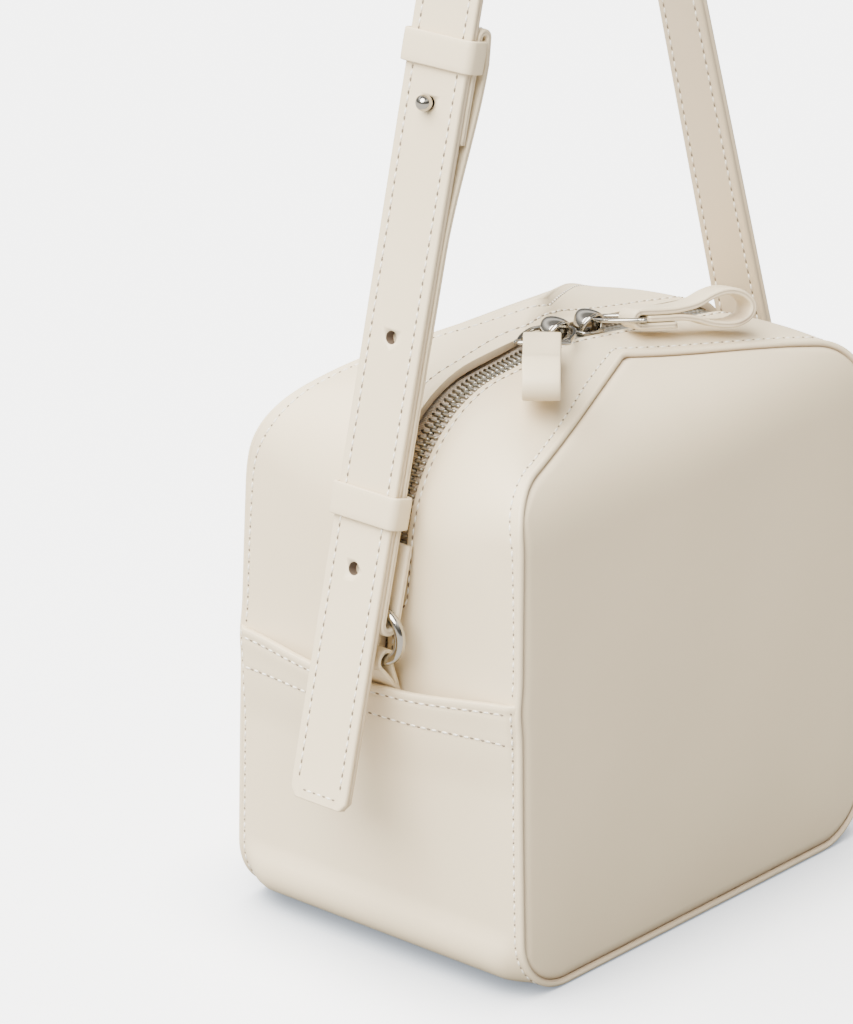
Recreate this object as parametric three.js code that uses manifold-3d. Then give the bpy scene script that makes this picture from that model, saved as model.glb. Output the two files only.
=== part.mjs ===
// A cream leather box bag: two five-sided panels joined by a deep gusset, closed over the top
// by a zip with two sliders, and carried on a long adjustable shoulder strap.
// Millimetres, +Z up, +X to the bag's right, -Y its front. The origin is inside the strap's crown.
import * as THREE from 'three';
import { mergeVertices } from 'three/addons/utils/BufferGeometryUtils.js';
import Module from 'manifold-3d';

const wasm = await Module();
wasm.setup();

// Leather, clearances and seams
const leather = 1.8;
const gap = 0.3;
const pipingRadius = 1.25;
const seamInset = pipingRadius + gap;
const roofInset = seamInset + 0.5;
const panelInset = seamInset + 0.2;

// Body: the loop that the piping follows on each panel
const baseHalfWidth = 93.2;
const shoulderHalfWidth = 91.3;
const backShoulderHalfWidth = 87.3;
const sideBow = 1.3;
const baseHalfDepth = 64.6;
const frontShoulderHalfDepth = 62.4;
const backShoulderHalfDepth = 61.2;
const frontShoulderZ = 182.5;
const backShoulderZ = 186.5;
const frontApex = { y: -28.8, z: 198.7 };
const backApex = { y: 6.4, z: 210.5 };
const baseCornerRadius = 22;
const frontShoulderRadius = 26;
const backShoulderRadius = 36;
const apexCornerRadius = 6;
const frontFoldSoftness = 22;
const backFoldSoftness = 30;
const panelCrown = 1.6;
const cornerFullness = 4.2;
const frontRightRise = 5;
const bodyMiddleZ = 100;

// Lower gusset: its top edge laps over the upper gusset at each side
const beltFrontZ = 109.5;
const beltBackZ = 104;
const beltDip = 3.5;
const lap = 12;
const beltFlare = 1.7;
const flareEnd = 36;
const beltBulge = 5.6;

// Zip: the centre line of its teeth, and how many of its stations lie below them at each foot
const zipY = -8.2;
const zipFootY = -4;
const zipBeltHalfWidth = baseHalfWidth - 0.4;
const zipLeftShoulder = { x: 2.7 - shoulderHalfWidth, z: 195 };
const zipRightShoulder = { x: shoulderHalfWidth - 3.8, z: 189 };
const zipApex = { x: -12, z: 202.6 };
const zipLeftRadius = 40;
const zipRightRadius = 25;
const zipCrestRadius = 90;
const zipClosedSpans = 5;
const slotWidth = 11.6;
const closedSlot = 1.4;
const placketRise = 1.4;
const gussetSwell = 1.6;
const chainWidth = 7.6;
const chainHeight = 2.4;
const chainDepth = 1.6;
const tapeThickness = 0.8;
const tapeOverlap = 5;

// Strap
const strapWidth = 25;
const strapThickness = 3.6;
const shortThickness = 2.4;
const strapY = -4;
const crownRadius = 30;
const crown = { x: -5, z: 424.5 };
const lowerKeeper = { x: -101.4, z: 167.6 };
const upperKeeperHeight = 153;
const studHeight = upperKeeperHeight - 17.5;
const holePitch = 78.6;
const holeRadius = 2.5;
const tailLength = 103;
const keeperBand = 11;
const keeperThickness = 1.6;
const foldReturn = 35;
const foldRamp = 64;
const foldRampTop = 8;
const foldBow = 1.1;
const ringReturn = 26;
const leftTurn = -6;
const rightTurn = 20;
const kneeTurn = 14;
const rightLegFoot = { x: 106, z: 130 };
const rightLegBend = { x: 105.2, z: 156 };
const rightLegKnee = { x: 95.8, z: 187 };
const rightLoopThickness = 2.2;

// Rings, tabs and stud
const ringHalfLength = 17.5;
const ringHalfHeight = 10.7;
const ringWire = 1.8;
const ringZ = 123.5;
const tabWidth = 19;
const tabLayer = 1.35;
const ringRoom = 0.6;
const tabDepth = 10;
const studBall = 2.9;
const studNeck = 1.3;
const studPlate = 4;
const studPlateThickness = 1;

// Sliders, bails and pulls
const sliderLength = 12;
const sliderWidth = 9.6;
const sliderCap = 1.4;
const sliderBridge = 6.4;
const bridgeWidth = 3.6;
const bridgeWall = 1.5;
const bailWire = 0.85;
const bailHalfWidth = 11.4;
const pullWidth = 13.8;
const pullThickness = 2.8;
const pullPitch = pullThickness + gap;
const pulls = [
  { name: 'left', slider: 1, root: { x: -16.3, y: -9.3, z: 5.4 }, heading: -140, droop: 5 },
  { name: 'right', slider: 18.5, root: { x: 28.7, y: -12.6, z: 3 }, heading: -27, droop: 5 },
];
for (const entry of pulls) {
  const { root } = entry;
  entry.slider += zipApex.x;
  entry.root = { x: zipApex.x + root.x, y: zipY + root.y, z: zipApex.z + root.z };
}

const cream = { color: 0xe6dccc, roughness: 0.5, metalness: 0 };
const weave = { color: 0xddd2c0, roughness: 0.85, metalness: 0 };
const nickel = { color: 0xcfcdc8, roughness: 0.18, metalness: 1 };

const degrees = Math.PI / 180;
const lerp = THREE.MathUtils.lerp;
const vec = (x, y, z) => new THREE.Vector3(x, y, z);
const smooth = (a, b, value) => THREE.MathUtils.smoothstep(value, a, b);

// A closed solid through rings of points; the ends are closed across the ring, point k to its twin
function loft(rings, loop = false) {
  const n = rings[0].length;
  const positions = [];
  const index = [];
  for (const ring of rings) {
    for (const p of ring) positions.push(p.x, p.y, p.z);
  }
  const spans = loop ? rings.length : rings.length - 1;
  for (let i = 0; i < spans; i += 1) {
    const a = i * n;
    const b = ((i + 1) % rings.length) * n;
    for (let k = 0; k < n; k += 1) {
      const m = (k + 1) % n;
      index.push(a + k, a + m, b + m, a + k, b + m, b + k);
    }
  }
  if (!loop) {
    const last = (rings.length - 1) * n;
    for (let k = 0; k < n / 2 - 1; k += 1) {
      const twin = n - 1 - k;
      index.push(k, twin, k + 1, k + 1, twin, twin - 1);
      index.push(last + k, last + k + 1, last + twin, last + k + 1, last + twin - 1, last + twin);
    }
  }
  const geometry = new THREE.BufferGeometry();
  geometry.setAttribute('position', new THREE.Float32BufferAttribute(positions, 3));
  geometry.setIndex(index);
  if (signedVolume(geometry) < 0) {
    for (let i = 0; i < index.length; i += 3) [index[i], index[i + 1]] = [index[i + 1], index[i]];
    geometry.setIndex(index);
  }
  return geometry;
}

function signedVolume(geometry) {
  const p = geometry.getAttribute('position');
  const index = geometry.getIndex().array;
  const corner = [vec(0, 0, 0), vec(0, 0, 0), vec(0, 0, 0)];
  let volume = 0;
  for (let i = 0; i < index.length; i += 3) {
    corner.forEach((v, k) => v.fromBufferAttribute(p, index[i + k]));
    volume += corner[0].dot(corner[1].clone().cross(corner[2])) / 6;
  }
  return volume;
}

// A sheet of leather: a grid of points given a wall between two offsets along its own normals
function sheet(grid, outer, inner, outward) {
  const at = (i, j) => {
    const row = grid[Math.min(Math.max(i, 0), grid.length - 1)];
    return row[Math.min(Math.max(j, 0), row.length - 1)];
  };
  const rings = grid.map((row, i) => {
    const normals = row.map((p, j) => {
      const along = at(i + 1, j).clone().sub(at(i - 1, j));
      const across = at(i, j + 1).clone().sub(at(i, j - 1));
      const normal = along.cross(across).normalize();
      return normal.dot(outward(p)) < 0 ? normal.negate() : normal;
    });
    const top = row.map((p, j) => p.clone().addScaledVector(normals[j], outer));
    const bottom = row.map((p, j) => p.clone().addScaledVector(normals[j], inner));
    return [...top, ...bottom.reverse()];
  });
  return loft(rings);
}

// The round corner between two straight runs, as count + 1 points
function fillet(before, corner, after, radius, count) {
  const a = before.clone().sub(corner).normalize();
  const b = after.clone().sub(corner).normalize();
  const half = Math.acos(a.dot(b)) / 2;
  const reach = radius / Math.tan(half);
  const centre = a.clone().add(b).normalize().multiplyScalar(radius / Math.sin(half)).add(corner);
  const start = corner.clone().addScaledVector(a, reach).sub(centre);
  const end = corner.clone().addScaledVector(b, reach).sub(centre);
  const sweep = Math.acos(start.dot(end) / (radius * radius));
  const points = [];
  for (let i = 0; i <= count; i += 1) {
    const t = i / count;
    const p = start.clone().multiplyScalar(Math.sin((1 - t) * sweep) / Math.sin(sweep));
    points.push(p.addScaledVector(end, Math.sin(t * sweep) / Math.sin(sweep)).add(centre));
  }
  return points;
}

const divide = (a, b, count) => {
  const points = [];
  for (let i = 1; i <= count; i += 1) points.push(a.clone().lerp(b, i / count));
  return points;
};

// Each side's panel as a flat sheet: x across, y up the sheet, bent back along its shoulder fold
const flat = (x, y) => new THREE.Vector2(x, y);
const sides = {
  front: {
    sign: -1,
    shoulder: frontShoulderZ,
    halfWidth: shoulderHalfWidth,
    halfDepth: frontShoulderHalfDepth,
    radius: frontShoulderRadius,
    softness: frontFoldSoftness,
    apex: frontApex,
    belt: beltFrontZ,
    rightRise: frontRightRise,
  },
  back: {
    sign: 1,
    shoulder: backShoulderZ,
    halfWidth: backShoulderHalfWidth,
    halfDepth: backShoulderHalfDepth,
    radius: backShoulderRadius,
    softness: backFoldSoftness,
    apex: backApex,
    belt: beltBackZ,
    rightRise: 0,
  },
};
for (const side of Object.values(sides)) {
  const rise = side.apex.z - side.shoulder;
  const run = side.sign * side.halfDepth - side.apex.y;
  side.facet = Math.hypot(run, rise);
  side.facetDirection = flat(-run / side.facet, rise / side.facet);
  side.pitch = Math.atan(side.facet / shoulderHalfWidth);
}

// The bent profile of a panel in Y and Z at a height up its sheet
function profile(side, t) {
  const level = pipingRadius + t;
  const lean = lerp(baseHalfDepth, side.halfDepth, Math.min(level / side.shoulder, 1));
  const fold = side.shoulder - pipingRadius;
  const corner = flat(side.sign * side.halfDepth, side.shoulder);
  if (t <= fold - side.softness) return flat(side.sign * lean, level);
  if (t >= fold + side.softness) return corner.addScaledVector(side.facetDirection, t - fold);
  const w = (t - fold + side.softness) / (2 * side.softness);
  const startLevel = side.shoulder - side.softness;
  const startLean = lerp(baseHalfDepth, side.halfDepth, startLevel / side.shoulder);
  const start = flat(side.sign * startLean, startLevel);
  const end = corner.clone().addScaledVector(side.facetDirection, side.softness);
  return start.multiplyScalar((1 - w) ** 2).addScaledVector(corner, 2 * w * (1 - w)).addScaledVector(end, w * w);
}

function panelNormal(side, t) {
  const a = profile(side, t - 1);
  const b = profile(side, t + 1);
  const normal = vec(0, -(b.y - a.y), b.x - a.x).normalize();
  return normal.y * side.sign < 0 || (normal.y === 0 && normal.z < 0) ? normal.negate() : normal;
}

function panelPoint(side, x, t, lift = 0) {
  const share = Math.min(Math.max(t / side.shoulder, 0), 1);
  const halfWidth = lerp(baseHalfWidth, side.halfWidth, share) + sideBow * Math.sin(Math.PI * share);
  const p = profile(side, t);
  const rise = side.rightRise * smooth(0, shoulderHalfWidth, x) * smooth(0.55 * side.shoulder, side.shoulder, t);
  return vec((x / shoulderHalfWidth) * halfWidth, p.x, p.y + rise).addScaledVector(panelNormal(side, t), lift);
}

// Corners of the piping's loop on the sheet, with its share that the upper gusset follows
const roofSpans = 5;
const shoulderSpans = 6;
const sideSpans = 5;
const lapSpans = 2;

function upperRun(other, apex, shoulder, base, radius, tipRadius, beltLevel) {
  const tip = fillet(other, apex, shoulder, tipRadius, 4).slice(2);
  const corner = fillet(apex, shoulder, base, radius, shoulderSpans);
  const level = (y) => shoulder.clone().lerp(base, (shoulder.y - y) / (shoulder.y - base.y));
  const belt = level(beltLevel);
  const end = level(beltLevel - lap);
  return [
    ...tip,
    ...divide(tip.at(-1), corner[0], roofSpans).slice(0, -1),
    ...corner,
    ...divide(corner.at(-1), belt, sideSpans),
    ...divide(belt, end, lapSpans),
  ];
}

const mirrorRun = (run) => [...run.slice(1).reverse().map((p) => p.clone().setX(-p.x)), ...run];

function sheetCorners(side) {
  const fold = side.shoulder - pipingRadius;
  return {
    apex: flat(0, fold + side.facet),
    shoulder: flat(-shoulderHalfWidth, fold),
    base: flat(-shoulderHalfWidth, 0),
    foot: flat(0, 0),
  };
}

function upperSheetRun(side) {
  const c = sheetCorners(side);
  const other = c.shoulder.clone().setX(-c.shoulder.x);
  const belt = side.belt - pipingRadius;
  return mirrorRun(upperRun(other, c.apex, c.shoulder, c.base, side.radius, apexCornerRadius, belt));
}

const upperLoop = (side) => upperSheetRun(side).map((p) => panelPoint(side, p.x, p.y));

// The zip's centre line over the top, in X and Z, from its right foot to its left
const zipFootZ = (beltFrontZ + beltBackZ) / 2 - beltDip;
const zipTop = flat(zipApex.x, zipApex.z);
const zipLeft = flat(zipLeftShoulder.x, zipLeftShoulder.z);
const zipRight = flat(zipRightShoulder.x, zipRightShoulder.z);
const zipHalf = (near, far, foot, radius) => upperRun(far, zipTop, near, foot, radius, zipCrestRadius, zipFootZ);
const zipRun = [
  ...zipHalf(zipRight, zipLeft, flat(zipBeltHalfWidth, zipFootZ), zipRightRadius).slice(1).reverse(),
  ...zipHalf(zipLeft, zipRight, flat(-zipBeltHalfWidth, zipFootZ), zipLeftRadius),
];
const zipFrames = zipRun.map((p, i) => {
  const before = zipRun[Math.max(i - 1, 0)];
  const after = zipRun[Math.min(i + 1, zipRun.length - 1)];
  const tangent = after.clone().sub(before).normalize();
  const normal = vec(-tangent.y, 0, tangent.x);
  const centre = vec(p.x, lerp(zipFootY, zipY, smooth(zipFootZ, frontShoulderZ, p.y)), p.y);
  const closed = Math.min(i, zipRun.length - 1 - i) < zipClosedSpans;
  const slotHalf = (closed ? closedSlot : slotWidth) / 2;
  return { centre, slotHalf, normal: normal.dot(vec(p.x, 0, p.y - bodyMiddleZ)) < 0 ? normal.negate() : normal };
});

const bodyMiddle = vec(0, 0, bodyMiddleZ);
const fromMiddle = (p) => p.clone().sub(bodyMiddle);

// One half of the upper gusset, from the piping to the zip
function upperGusset(side) {
  const loop = upperLoop(side);
  const rise = side.sign > 0 ? placketRise : 0;
  const grid = loop.map((seam, i) => {
    const { centre, slotHalf, normal } = zipFrames[i];
    const edge = centre.clone().add(vec(0, side.sign * slotHalf, 0)).addScaledVector(normal, rise);
    const across = edge.clone().sub(seam);
    const start = seam.clone().addScaledVector(across, roofInset / across.length());
    return [0, 0.3, 0.65, 1].map((v) => {
      const free = smooth(zipFootZ + 10, zipFootZ + 50, centre.z) * Math.min(across.length() / 60, 1);
      const swell = gussetSwell * Math.sin(Math.PI * v) * free;
      return start.clone().lerp(edge, v).addScaledVector(normal, swell);
    });
  });
  return sheet(grid, leather / 2 - 0.05, -leather / 2 - 0.05, fromMiddle);
}

// The whole run of the lower gusset: down one side, under the base and up the other
function lowerLoop(side) {
  const c = sheetCorners(side);
  const belt = flat(c.shoulder.x, side.belt - pipingRadius);
  const corner = fillet(c.shoulder, c.base, c.foot, baseCornerRadius, 5);
  const lapEnd = flat(belt.x, belt.y - lap - 3);
  const fade = flat(belt.x, belt.y - flareEnd);
  const run = [
    c.foot.clone(),
    ...divide(c.foot, corner.at(-1), 2),
    ...corner.slice(0, -1).reverse(),
    ...divide(corner[0], fade, 2),
    ...divide(fade, lapEnd, 3),
    ...divide(lapEnd, belt, 3),
  ];
  return mirrorRun(run);
}

function lowerGusset() {
  const frontFlat = lowerLoop(sides.front);
  const backFlat = lowerLoop(sides.back);
  const grid = frontFlat.map((f, i) => {
    const seamFront = panelPoint(sides.front, f.x, f.y);
    const seamBack = panelPoint(sides.back, backFlat[i].x, backFlat[i].y);
    const drop = sides.front.belt - pipingRadius - f.y;
    const flare = beltFlare * (1 - smooth(lap + 3, flareEnd, drop));
    const bulge = beltBulge * (1 - smooth(0, sides.front.belt - baseCornerRadius, drop));
    const dip = beltDip * (1 - smooth(0, lap + 3, drop));
    const sideways = Math.sign(f.x) * smooth(0, baseCornerRadius, f.y);
    const round = Math.min(Math.max((baseCornerRadius - f.y) / baseCornerRadius, 0), 1);
    const turned = Math.abs(f.x) > shoulderHalfWidth - baseCornerRadius ? Math.sin(Math.PI * round ** 0.8) : 0;
    const full = (cornerFullness * turned) / Math.SQRT2;
    const across = seamBack.clone().sub(seamFront);
    const edge = seamInset / across.length();
    return [0, 0.06, 0.2, 0.38, 0.5, 0.62, 0.8, 0.94, 1].map((v) => {
      const p = seamFront.clone().addScaledVector(across, lerp(edge, 1 - edge, v));
      const wave = Math.sin(Math.PI * v);
      const plateau = smooth(0, 0.38, Math.min(v, 1 - v));
      const fill = full * smooth(0, 0.08, Math.min(v, 1 - v));
      const out = Math.sign(f.x) * fill + sideways * (flare + bulge * plateau);
      return p.add(vec(out, 0, -dip * wave - fill * smooth(0, cornerFullness, f.y)));
    });
  });
  return sheet(grid, pipingRadius, pipingRadius - leather, fromMiddle);
}

// A panel's own outline, a seam's width inside the piping
function panelEdge(side, x) {
  const half = shoulderHalfWidth - panelInset;
  const reach = Math.abs(x);
  const baseRadius = baseCornerRadius - panelInset;
  const fold = side.shoulder - pipingRadius;
  const pitch = side.pitch;
  const beyond = Math.max(reach - (half - baseRadius), 0);
  const bottom = panelInset + baseRadius - Math.sqrt(Math.max(baseRadius ** 2 - beyond ** 2, 0));
  const roof = (r) => fold + (shoulderHalfWidth - r) * Math.tan(pitch) - panelInset / Math.cos(pitch);
  const radius = side.radius - panelInset;
  const centre = { x: half - radius, t: roof(half - radius) - radius / Math.cos(pitch) };
  const tipRadius = apexCornerRadius;
  const tip = roof(0) - tipRadius / Math.cos(pitch);
  let top = roof(reach);
  if (reach > centre.x + radius * Math.sin(pitch)) {
    top = centre.t + Math.sqrt(Math.max(radius ** 2 - (reach - centre.x) ** 2, 0));
  }
  if (reach < tipRadius * Math.sin(pitch)) top = tip + Math.sqrt(tipRadius ** 2 - reach ** 2);
  return { bottom, top };
}

function panel(side) {
  const half = shoulderHalfWidth - panelInset;
  const shares = [0, 0.025, 0.12, 0.3, 0.5, 0.68, 0.81, 0.9, 0.955, 0.988, 1];
  const columns = [...shares.slice(1).reverse().map((s) => -s), ...shares].map((s) => s * half);
  const fold = side.shoulder - pipingRadius;
  const grid = columns.map((x) => {
    const { bottom, top } = panelEdge(side, x);
    const low = Math.min(fold - side.softness, lerp(bottom, top, 0.82));
    const high = Math.min(fold + side.softness, lerp(low, top, 0.8));
    const levels = [bottom, ...[0.06, 0.2, 0.45, 0.72, 1].map((s) => lerp(bottom, low, s))];
    levels.push(...[0.25, 0.5, 0.75, 1].map((s) => lerp(low, high, s)), lerp(high, top, 0.5), top);
    return levels.map((t) => {
      const across = 1 - (x / half) ** 2;
      const share = (t - bottom) / (top - bottom);
      const lift = panelCrown * Math.sqrt(Math.max(across, 0)) * Math.sin(Math.PI * share);
      return panelPoint(side, x, t, lift);
    });
  });
  return sheet(grid, leather / 2, -leather / 2, (p) => vec(0, side.sign * 20, p.z > side.shoulder ? 100 : 1));
}

// A round cord of sides around a closed or open run of points
function cord(points, radius, loop, sidesRound = 8) {
  const rings = points.map((p, i) => {
    const count = points.length;
    const before = points[loop ? (i + count - 1) % count : Math.max(i - 1, 0)];
    const after = points[loop ? (i + 1) % count : Math.min(i + 1, count - 1)];
    const tangent = after.clone().sub(before).normalize();
    const inward = bodyMiddle.clone().sub(p);
    const side = inward.cross(tangent).normalize();
    const up = tangent.clone().cross(side).normalize();
    return Array.from({ length: sidesRound }, (_, k) => {
      const angle = ((k + 0.5) / sidesRound) * 2 * Math.PI;
      const out = side.clone().multiplyScalar(Math.cos(angle)).addScaledVector(up, Math.sin(angle));
      return p.clone().addScaledVector(out, radius);
    });
  });
  return loft(rings, loop);
}

function piping(side) {
  const upper = upperSheetRun(side);
  const lower = lowerLoop(side).filter((p) => p.y < upper[0].y - 1);
  return cord([...upper, ...lower.reverse()].map((p) => panelPoint(side, p.x, p.y)), pipingRadius, true);
}

// Strips that follow the zip's centre line
function zipStrip(near, far, low, high, trim) {
  const frames = zipFrames.slice(trim, zipFrames.length - trim);
  return loft(frames.map(({ centre, normal }) => [
    [near, high], [far, high], [far, low], [near, low],
  ].map(([across, height]) => centre.clone().add(vec(0, across, 0)).addScaledVector(normal, height))));
}

const chainTop = -leather / 2 + chainHeight - chainDepth;
const chainBottom = chainTop - chainHeight;
const tapeTop = -leather / 2 - 0.05 - gap;

// A tape: from beside the teeth to under the leather's edge, which it follows
function zipTape(side) {
  const loop = upperLoop(side);
  const rise = side.sign > 0 ? placketRise : 0;
  const last = loop.length - 1;
  const rings = [];
  for (let i = 1; i < last; i += 1) {
    const { centre, slotHalf, normal } = zipFrames[i];
    const near = centre.clone().add(vec(0, side.sign * (chainWidth / 2 + gap), 0)).addScaledVector(normal, tapeTop);
    const edge = centre.clone().add(vec(0, side.sign * slotHalf, 0)).addScaledVector(normal, rise);
    const toSeam = loop[i].clone().sub(edge).normalize();
    const under = zipFrames[i + 1].centre.clone().sub(zipFrames[i - 1].centre).cross(toSeam).normalize();
    if (under.dot(normal) > 0) under.negate();
    const far = edge.clone().addScaledVector(toSeam, tapeOverlap).addScaledVector(under, leather / 2 + 2 * gap);
    const nearLow = near.clone().addScaledVector(normal, -tapeThickness);
    const farLow = far.clone().addScaledVector(under, tapeThickness);
    rings.push([near, far, farLow, nearLow]);
  }
  return loft(rings);
}

// The point of the zip's run above a place across the bag
function zipAt(x) {
  const i = zipRun.findIndex((p) => p.x <= x);
  const share = (x - zipRun[i - 1].x) / (zipRun[i].x - zipRun[i - 1].x);
  const z = lerp(zipRun[i - 1].y, zipRun[i].y, share);
  const slope = Math.atan((zipRun[i].y - zipRun[i - 1].y) / (zipRun[i].x - zipRun[i - 1].x));
  return { z, slope };
}

// A slider: a cap over the teeth with a bridge that its bail passes under
function slider(x) {
  const half = sliderLength / 2;
  const arch = (reach, rise, foot) => {
    const points = arcPoints(flat(0, 0), 1, 0, Math.PI, 8);
    return points.map((p) => flat(p.x * reach, foot + p.y * rise));
  };
  const outline = new THREE.Shape([flat(-half, 0), flat(half, 0), ...arch(half, sliderBridge, sliderCap)]);
  outline.holes.push(new THREE.Path(arch(half - bridgeWall, sliderBridge - bridgeWall, sliderCap + 0.1)));
  const bridge = new THREE.ExtrudeGeometry(outline, { depth: bridgeWidth, bevelEnabled: false, curveSegments: 2 });
  bridge.translate(0, 0, -bridgeWidth / 2);
  const cap = new THREE.BoxGeometry(sliderLength, sliderCap, sliderWidth);
  cap.translate(0, sliderCap / 2, 0);
  const seat = zipAt(x);
  const solid = joined(bridge, cap);
  solid.rotateX(Math.PI / 2);
  solid.rotateY(-seat.slope);
  solid.translate(x, zipY, seat.z + sliderSeat);
  return solid;
}

const sliderSeat = chainTop + gap;

function toManifold(geometry) {
  const plain = geometry.clone();
  plain.deleteAttribute('normal');
  plain.deleteAttribute('uv');
  const merged = mergeVertices(plain, 1e-4);
  return new wasm.Manifold(new wasm.Mesh({
    numProp: 3,
    vertProperties: new Float32Array(merged.getAttribute('position').array),
    triVerts: new Uint32Array(merged.getIndex().array),
  }));
}

function fromManifold(solid) {
  const mesh = solid.getMesh();
  const geometry = new THREE.BufferGeometry();
  geometry.setAttribute('position', new THREE.Float32BufferAttribute(mesh.vertProperties, 3));
  geometry.setIndex(Array.from(mesh.triVerts));
  return geometry;
}

const joined = (a, b) => fromManifold(toManifold(a).add(toManifold(b)));
const drilled = (body, drills) => fromManifold(drills.reduce((s, d) => s.subtract(toManifold(d)), toManifold(body)));

// The strap's left leg leans from the lower keeper to the crown's circle
const crownCentre = flat(crown.x, crown.z);
const toCrown = crownCentre.clone().sub(flat(lowerKeeper.x, lowerKeeper.z));
const leftLean = Math.atan2(toCrown.x, toCrown.y) - Math.asin(crownRadius / toCrown.length());
const legUp = vec(Math.sin(leftLean), 0, Math.cos(leftLean));
const legIn = vec(Math.cos(leftLean), 0, -Math.sin(leftLean));
const legPoint = (along, inward, y = 0) => vec(lowerKeeper.x, y, lowerKeeper.z)
  .addScaledVector(legUp, along).addScaledVector(legIn, inward);
const legLength = Math.sqrt(toCrown.lengthSq() - crownRadius ** 2);
const legPlace = new THREE.Matrix4().makeBasis(legIn, vec(0, 1, 0), legUp)
  .setPosition(lowerKeeper.x, 0, lowerKeeper.z);

// A flat strap through stations, each with its place, turn, width and thickness
function ribbon(stations) {
  const rings = stations.map((s, i) => {
    const before = stations[Math.max(i - 1, 0)].at;
    const after = stations[Math.min(i + 1, stations.length - 1)].at;
    const tangent = after.clone().sub(before).normalize();
    const turn = (s.turn ?? 0) * degrees;
    const normal = vec(Math.sin(turn), Math.cos(turn), 0).cross(tangent).normalize();
    const across = tangent.clone().cross(normal).normalize();
    const corner = (a, b) => s.at.clone().addScaledVector(across, (a * s.width) / 2)
      .addScaledVector(normal, (b * s.thickness) / 2);
    return [corner(-1, 1), corner(1, 1), corner(1, -1), corner(-1, -1)];
  });
  return loft(rings);
}

const arcPoints = (centre, radius, from, to, count) => Array.from({ length: count + 1 }, (_, i) => {
  const angle = lerp(from, to, i / count);
  return centre.clone().add(flat(Math.cos(angle), Math.sin(angle)).multiplyScalar(radius));
});

// Height of the wire's lowest or highest run where a wrap of some half width crosses the round ends
function wireRise(halfWidth) {
  const radius = ringHalfHeight - 2 * ringWire - gap;
  const past = Math.max(halfWidth - (ringHalfLength - ringHalfHeight), 0);
  return radius - Math.sqrt(radius ** 2 - past ** 2);
}

const topWireZ = ringZ + ringHalfHeight - ringWire;
const bottomWireZ = ringZ - ringHalfHeight + ringWire;
const shortOffset = strapThickness / 2 + gap + shortThickness / 2;
const wireOffset = shortOffset + shortThickness / 2 + ringRoom + ringWire;
const wireAlong = (topWireZ - lowerKeeper.z + wireOffset * Math.sin(leftLean)) / Math.cos(leftLean);
const leftRingX = legPoint(wireAlong, wireOffset).x;

function strapLong() {
  const turnAt = (share) => lerp(leftTurn, rightTurn, share);
  const stations = [];
  const left = (along, width = strapWidth) => stations.push({
    at: legPoint(along, 0),
    turn: leftTurn * smooth(0, legLength, along),
    width,
    thickness: strapThickness,
  });
  left(-tailLength, strapWidth - 5);
  left(-tailLength + 0.8, strapWidth - 2);
  left(-tailLength + 2.5);
  for (const share of [0.5, 0]) left(-tailLength * share);
  for (const share of [0.25, 0.5, 0.75]) left(legLength * share);
  const knee = flat(rightLegKnee.x, rightLegKnee.z);
  const span = crownCentre.clone().sub(knee);
  const rightLean = Math.atan2(-span.x, span.y) - Math.asin(crownRadius / span.length());
  const over = arcPoints(crownCentre, crownRadius, Math.PI - leftLean, rightLean, 16);
  over.forEach((p, i) => stations.push({
    at: vec(p.x, 0, p.y), turn: turnAt(i / 16), width: strapWidth, thickness: strapThickness,
  }));
  const right = divide(over.at(-1), knee, 4);
  right.forEach((p, i) => stations.push({
    at: vec(p.x, 0, p.y), turn: lerp(rightTurn, kneeTurn, (i + 1) / 4), width: strapWidth, thickness: strapThickness,
  }));
  const foot = new THREE.CatmullRomCurve3([
    vec(right[2].x, 0, right[2].y),
    vec(knee.x, 0, knee.y),
    vec(rightLegBend.x, 0, rightLegBend.z),
    vec(rightLegFoot.x, 0, rightLegFoot.z),
  ]);
  for (const share of [0.45, 0.58, 0.7, 0.85]) {
    stations.push({
      at: foot.getPoint(share),
      turn: kneeTurn * (1 - share),
      width: strapWidth,
      thickness: lerp(strapThickness, rightLoopThickness, smooth(0.45, 0.7, share)),
    });
  }
  const wrap = ringWire + gap + rightLoopThickness / 2;
  const wrapZ = topWireZ - wireRise(strapWidth / 2);
  const wrapCentre = flat(rightLegFoot.x - wrap, wrapZ);
  for (const p of arcPoints(wrapCentre, wrap, 0, -Math.PI, 8)) {
    stations.push({ at: vec(p.x, 0, p.y), width: strapWidth, thickness: rightLoopThickness });
  }
  for (const rise of [10, ringReturn]) {
    stations.push({
      at: vec(wrapCentre.x - wrap, 0, wrapZ + rise), width: strapWidth, thickness: rightLoopThickness,
    });
  }
  const holes = [0, 1, 2].map((i) => {
    const drill = new THREE.CylinderGeometry(holeRadius, holeRadius, 20, 12).rotateZ(Math.PI / 2);
    drill.translate(0, 0, studHeight - i * holePitch);
    return drill.applyMatrix4(legPlace);
  });
  return drilled(ribbon(stations), holes);
}

const rightRingX = rightLegFoot.x - (ringWire + gap + rightLoopThickness / 2);

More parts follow.
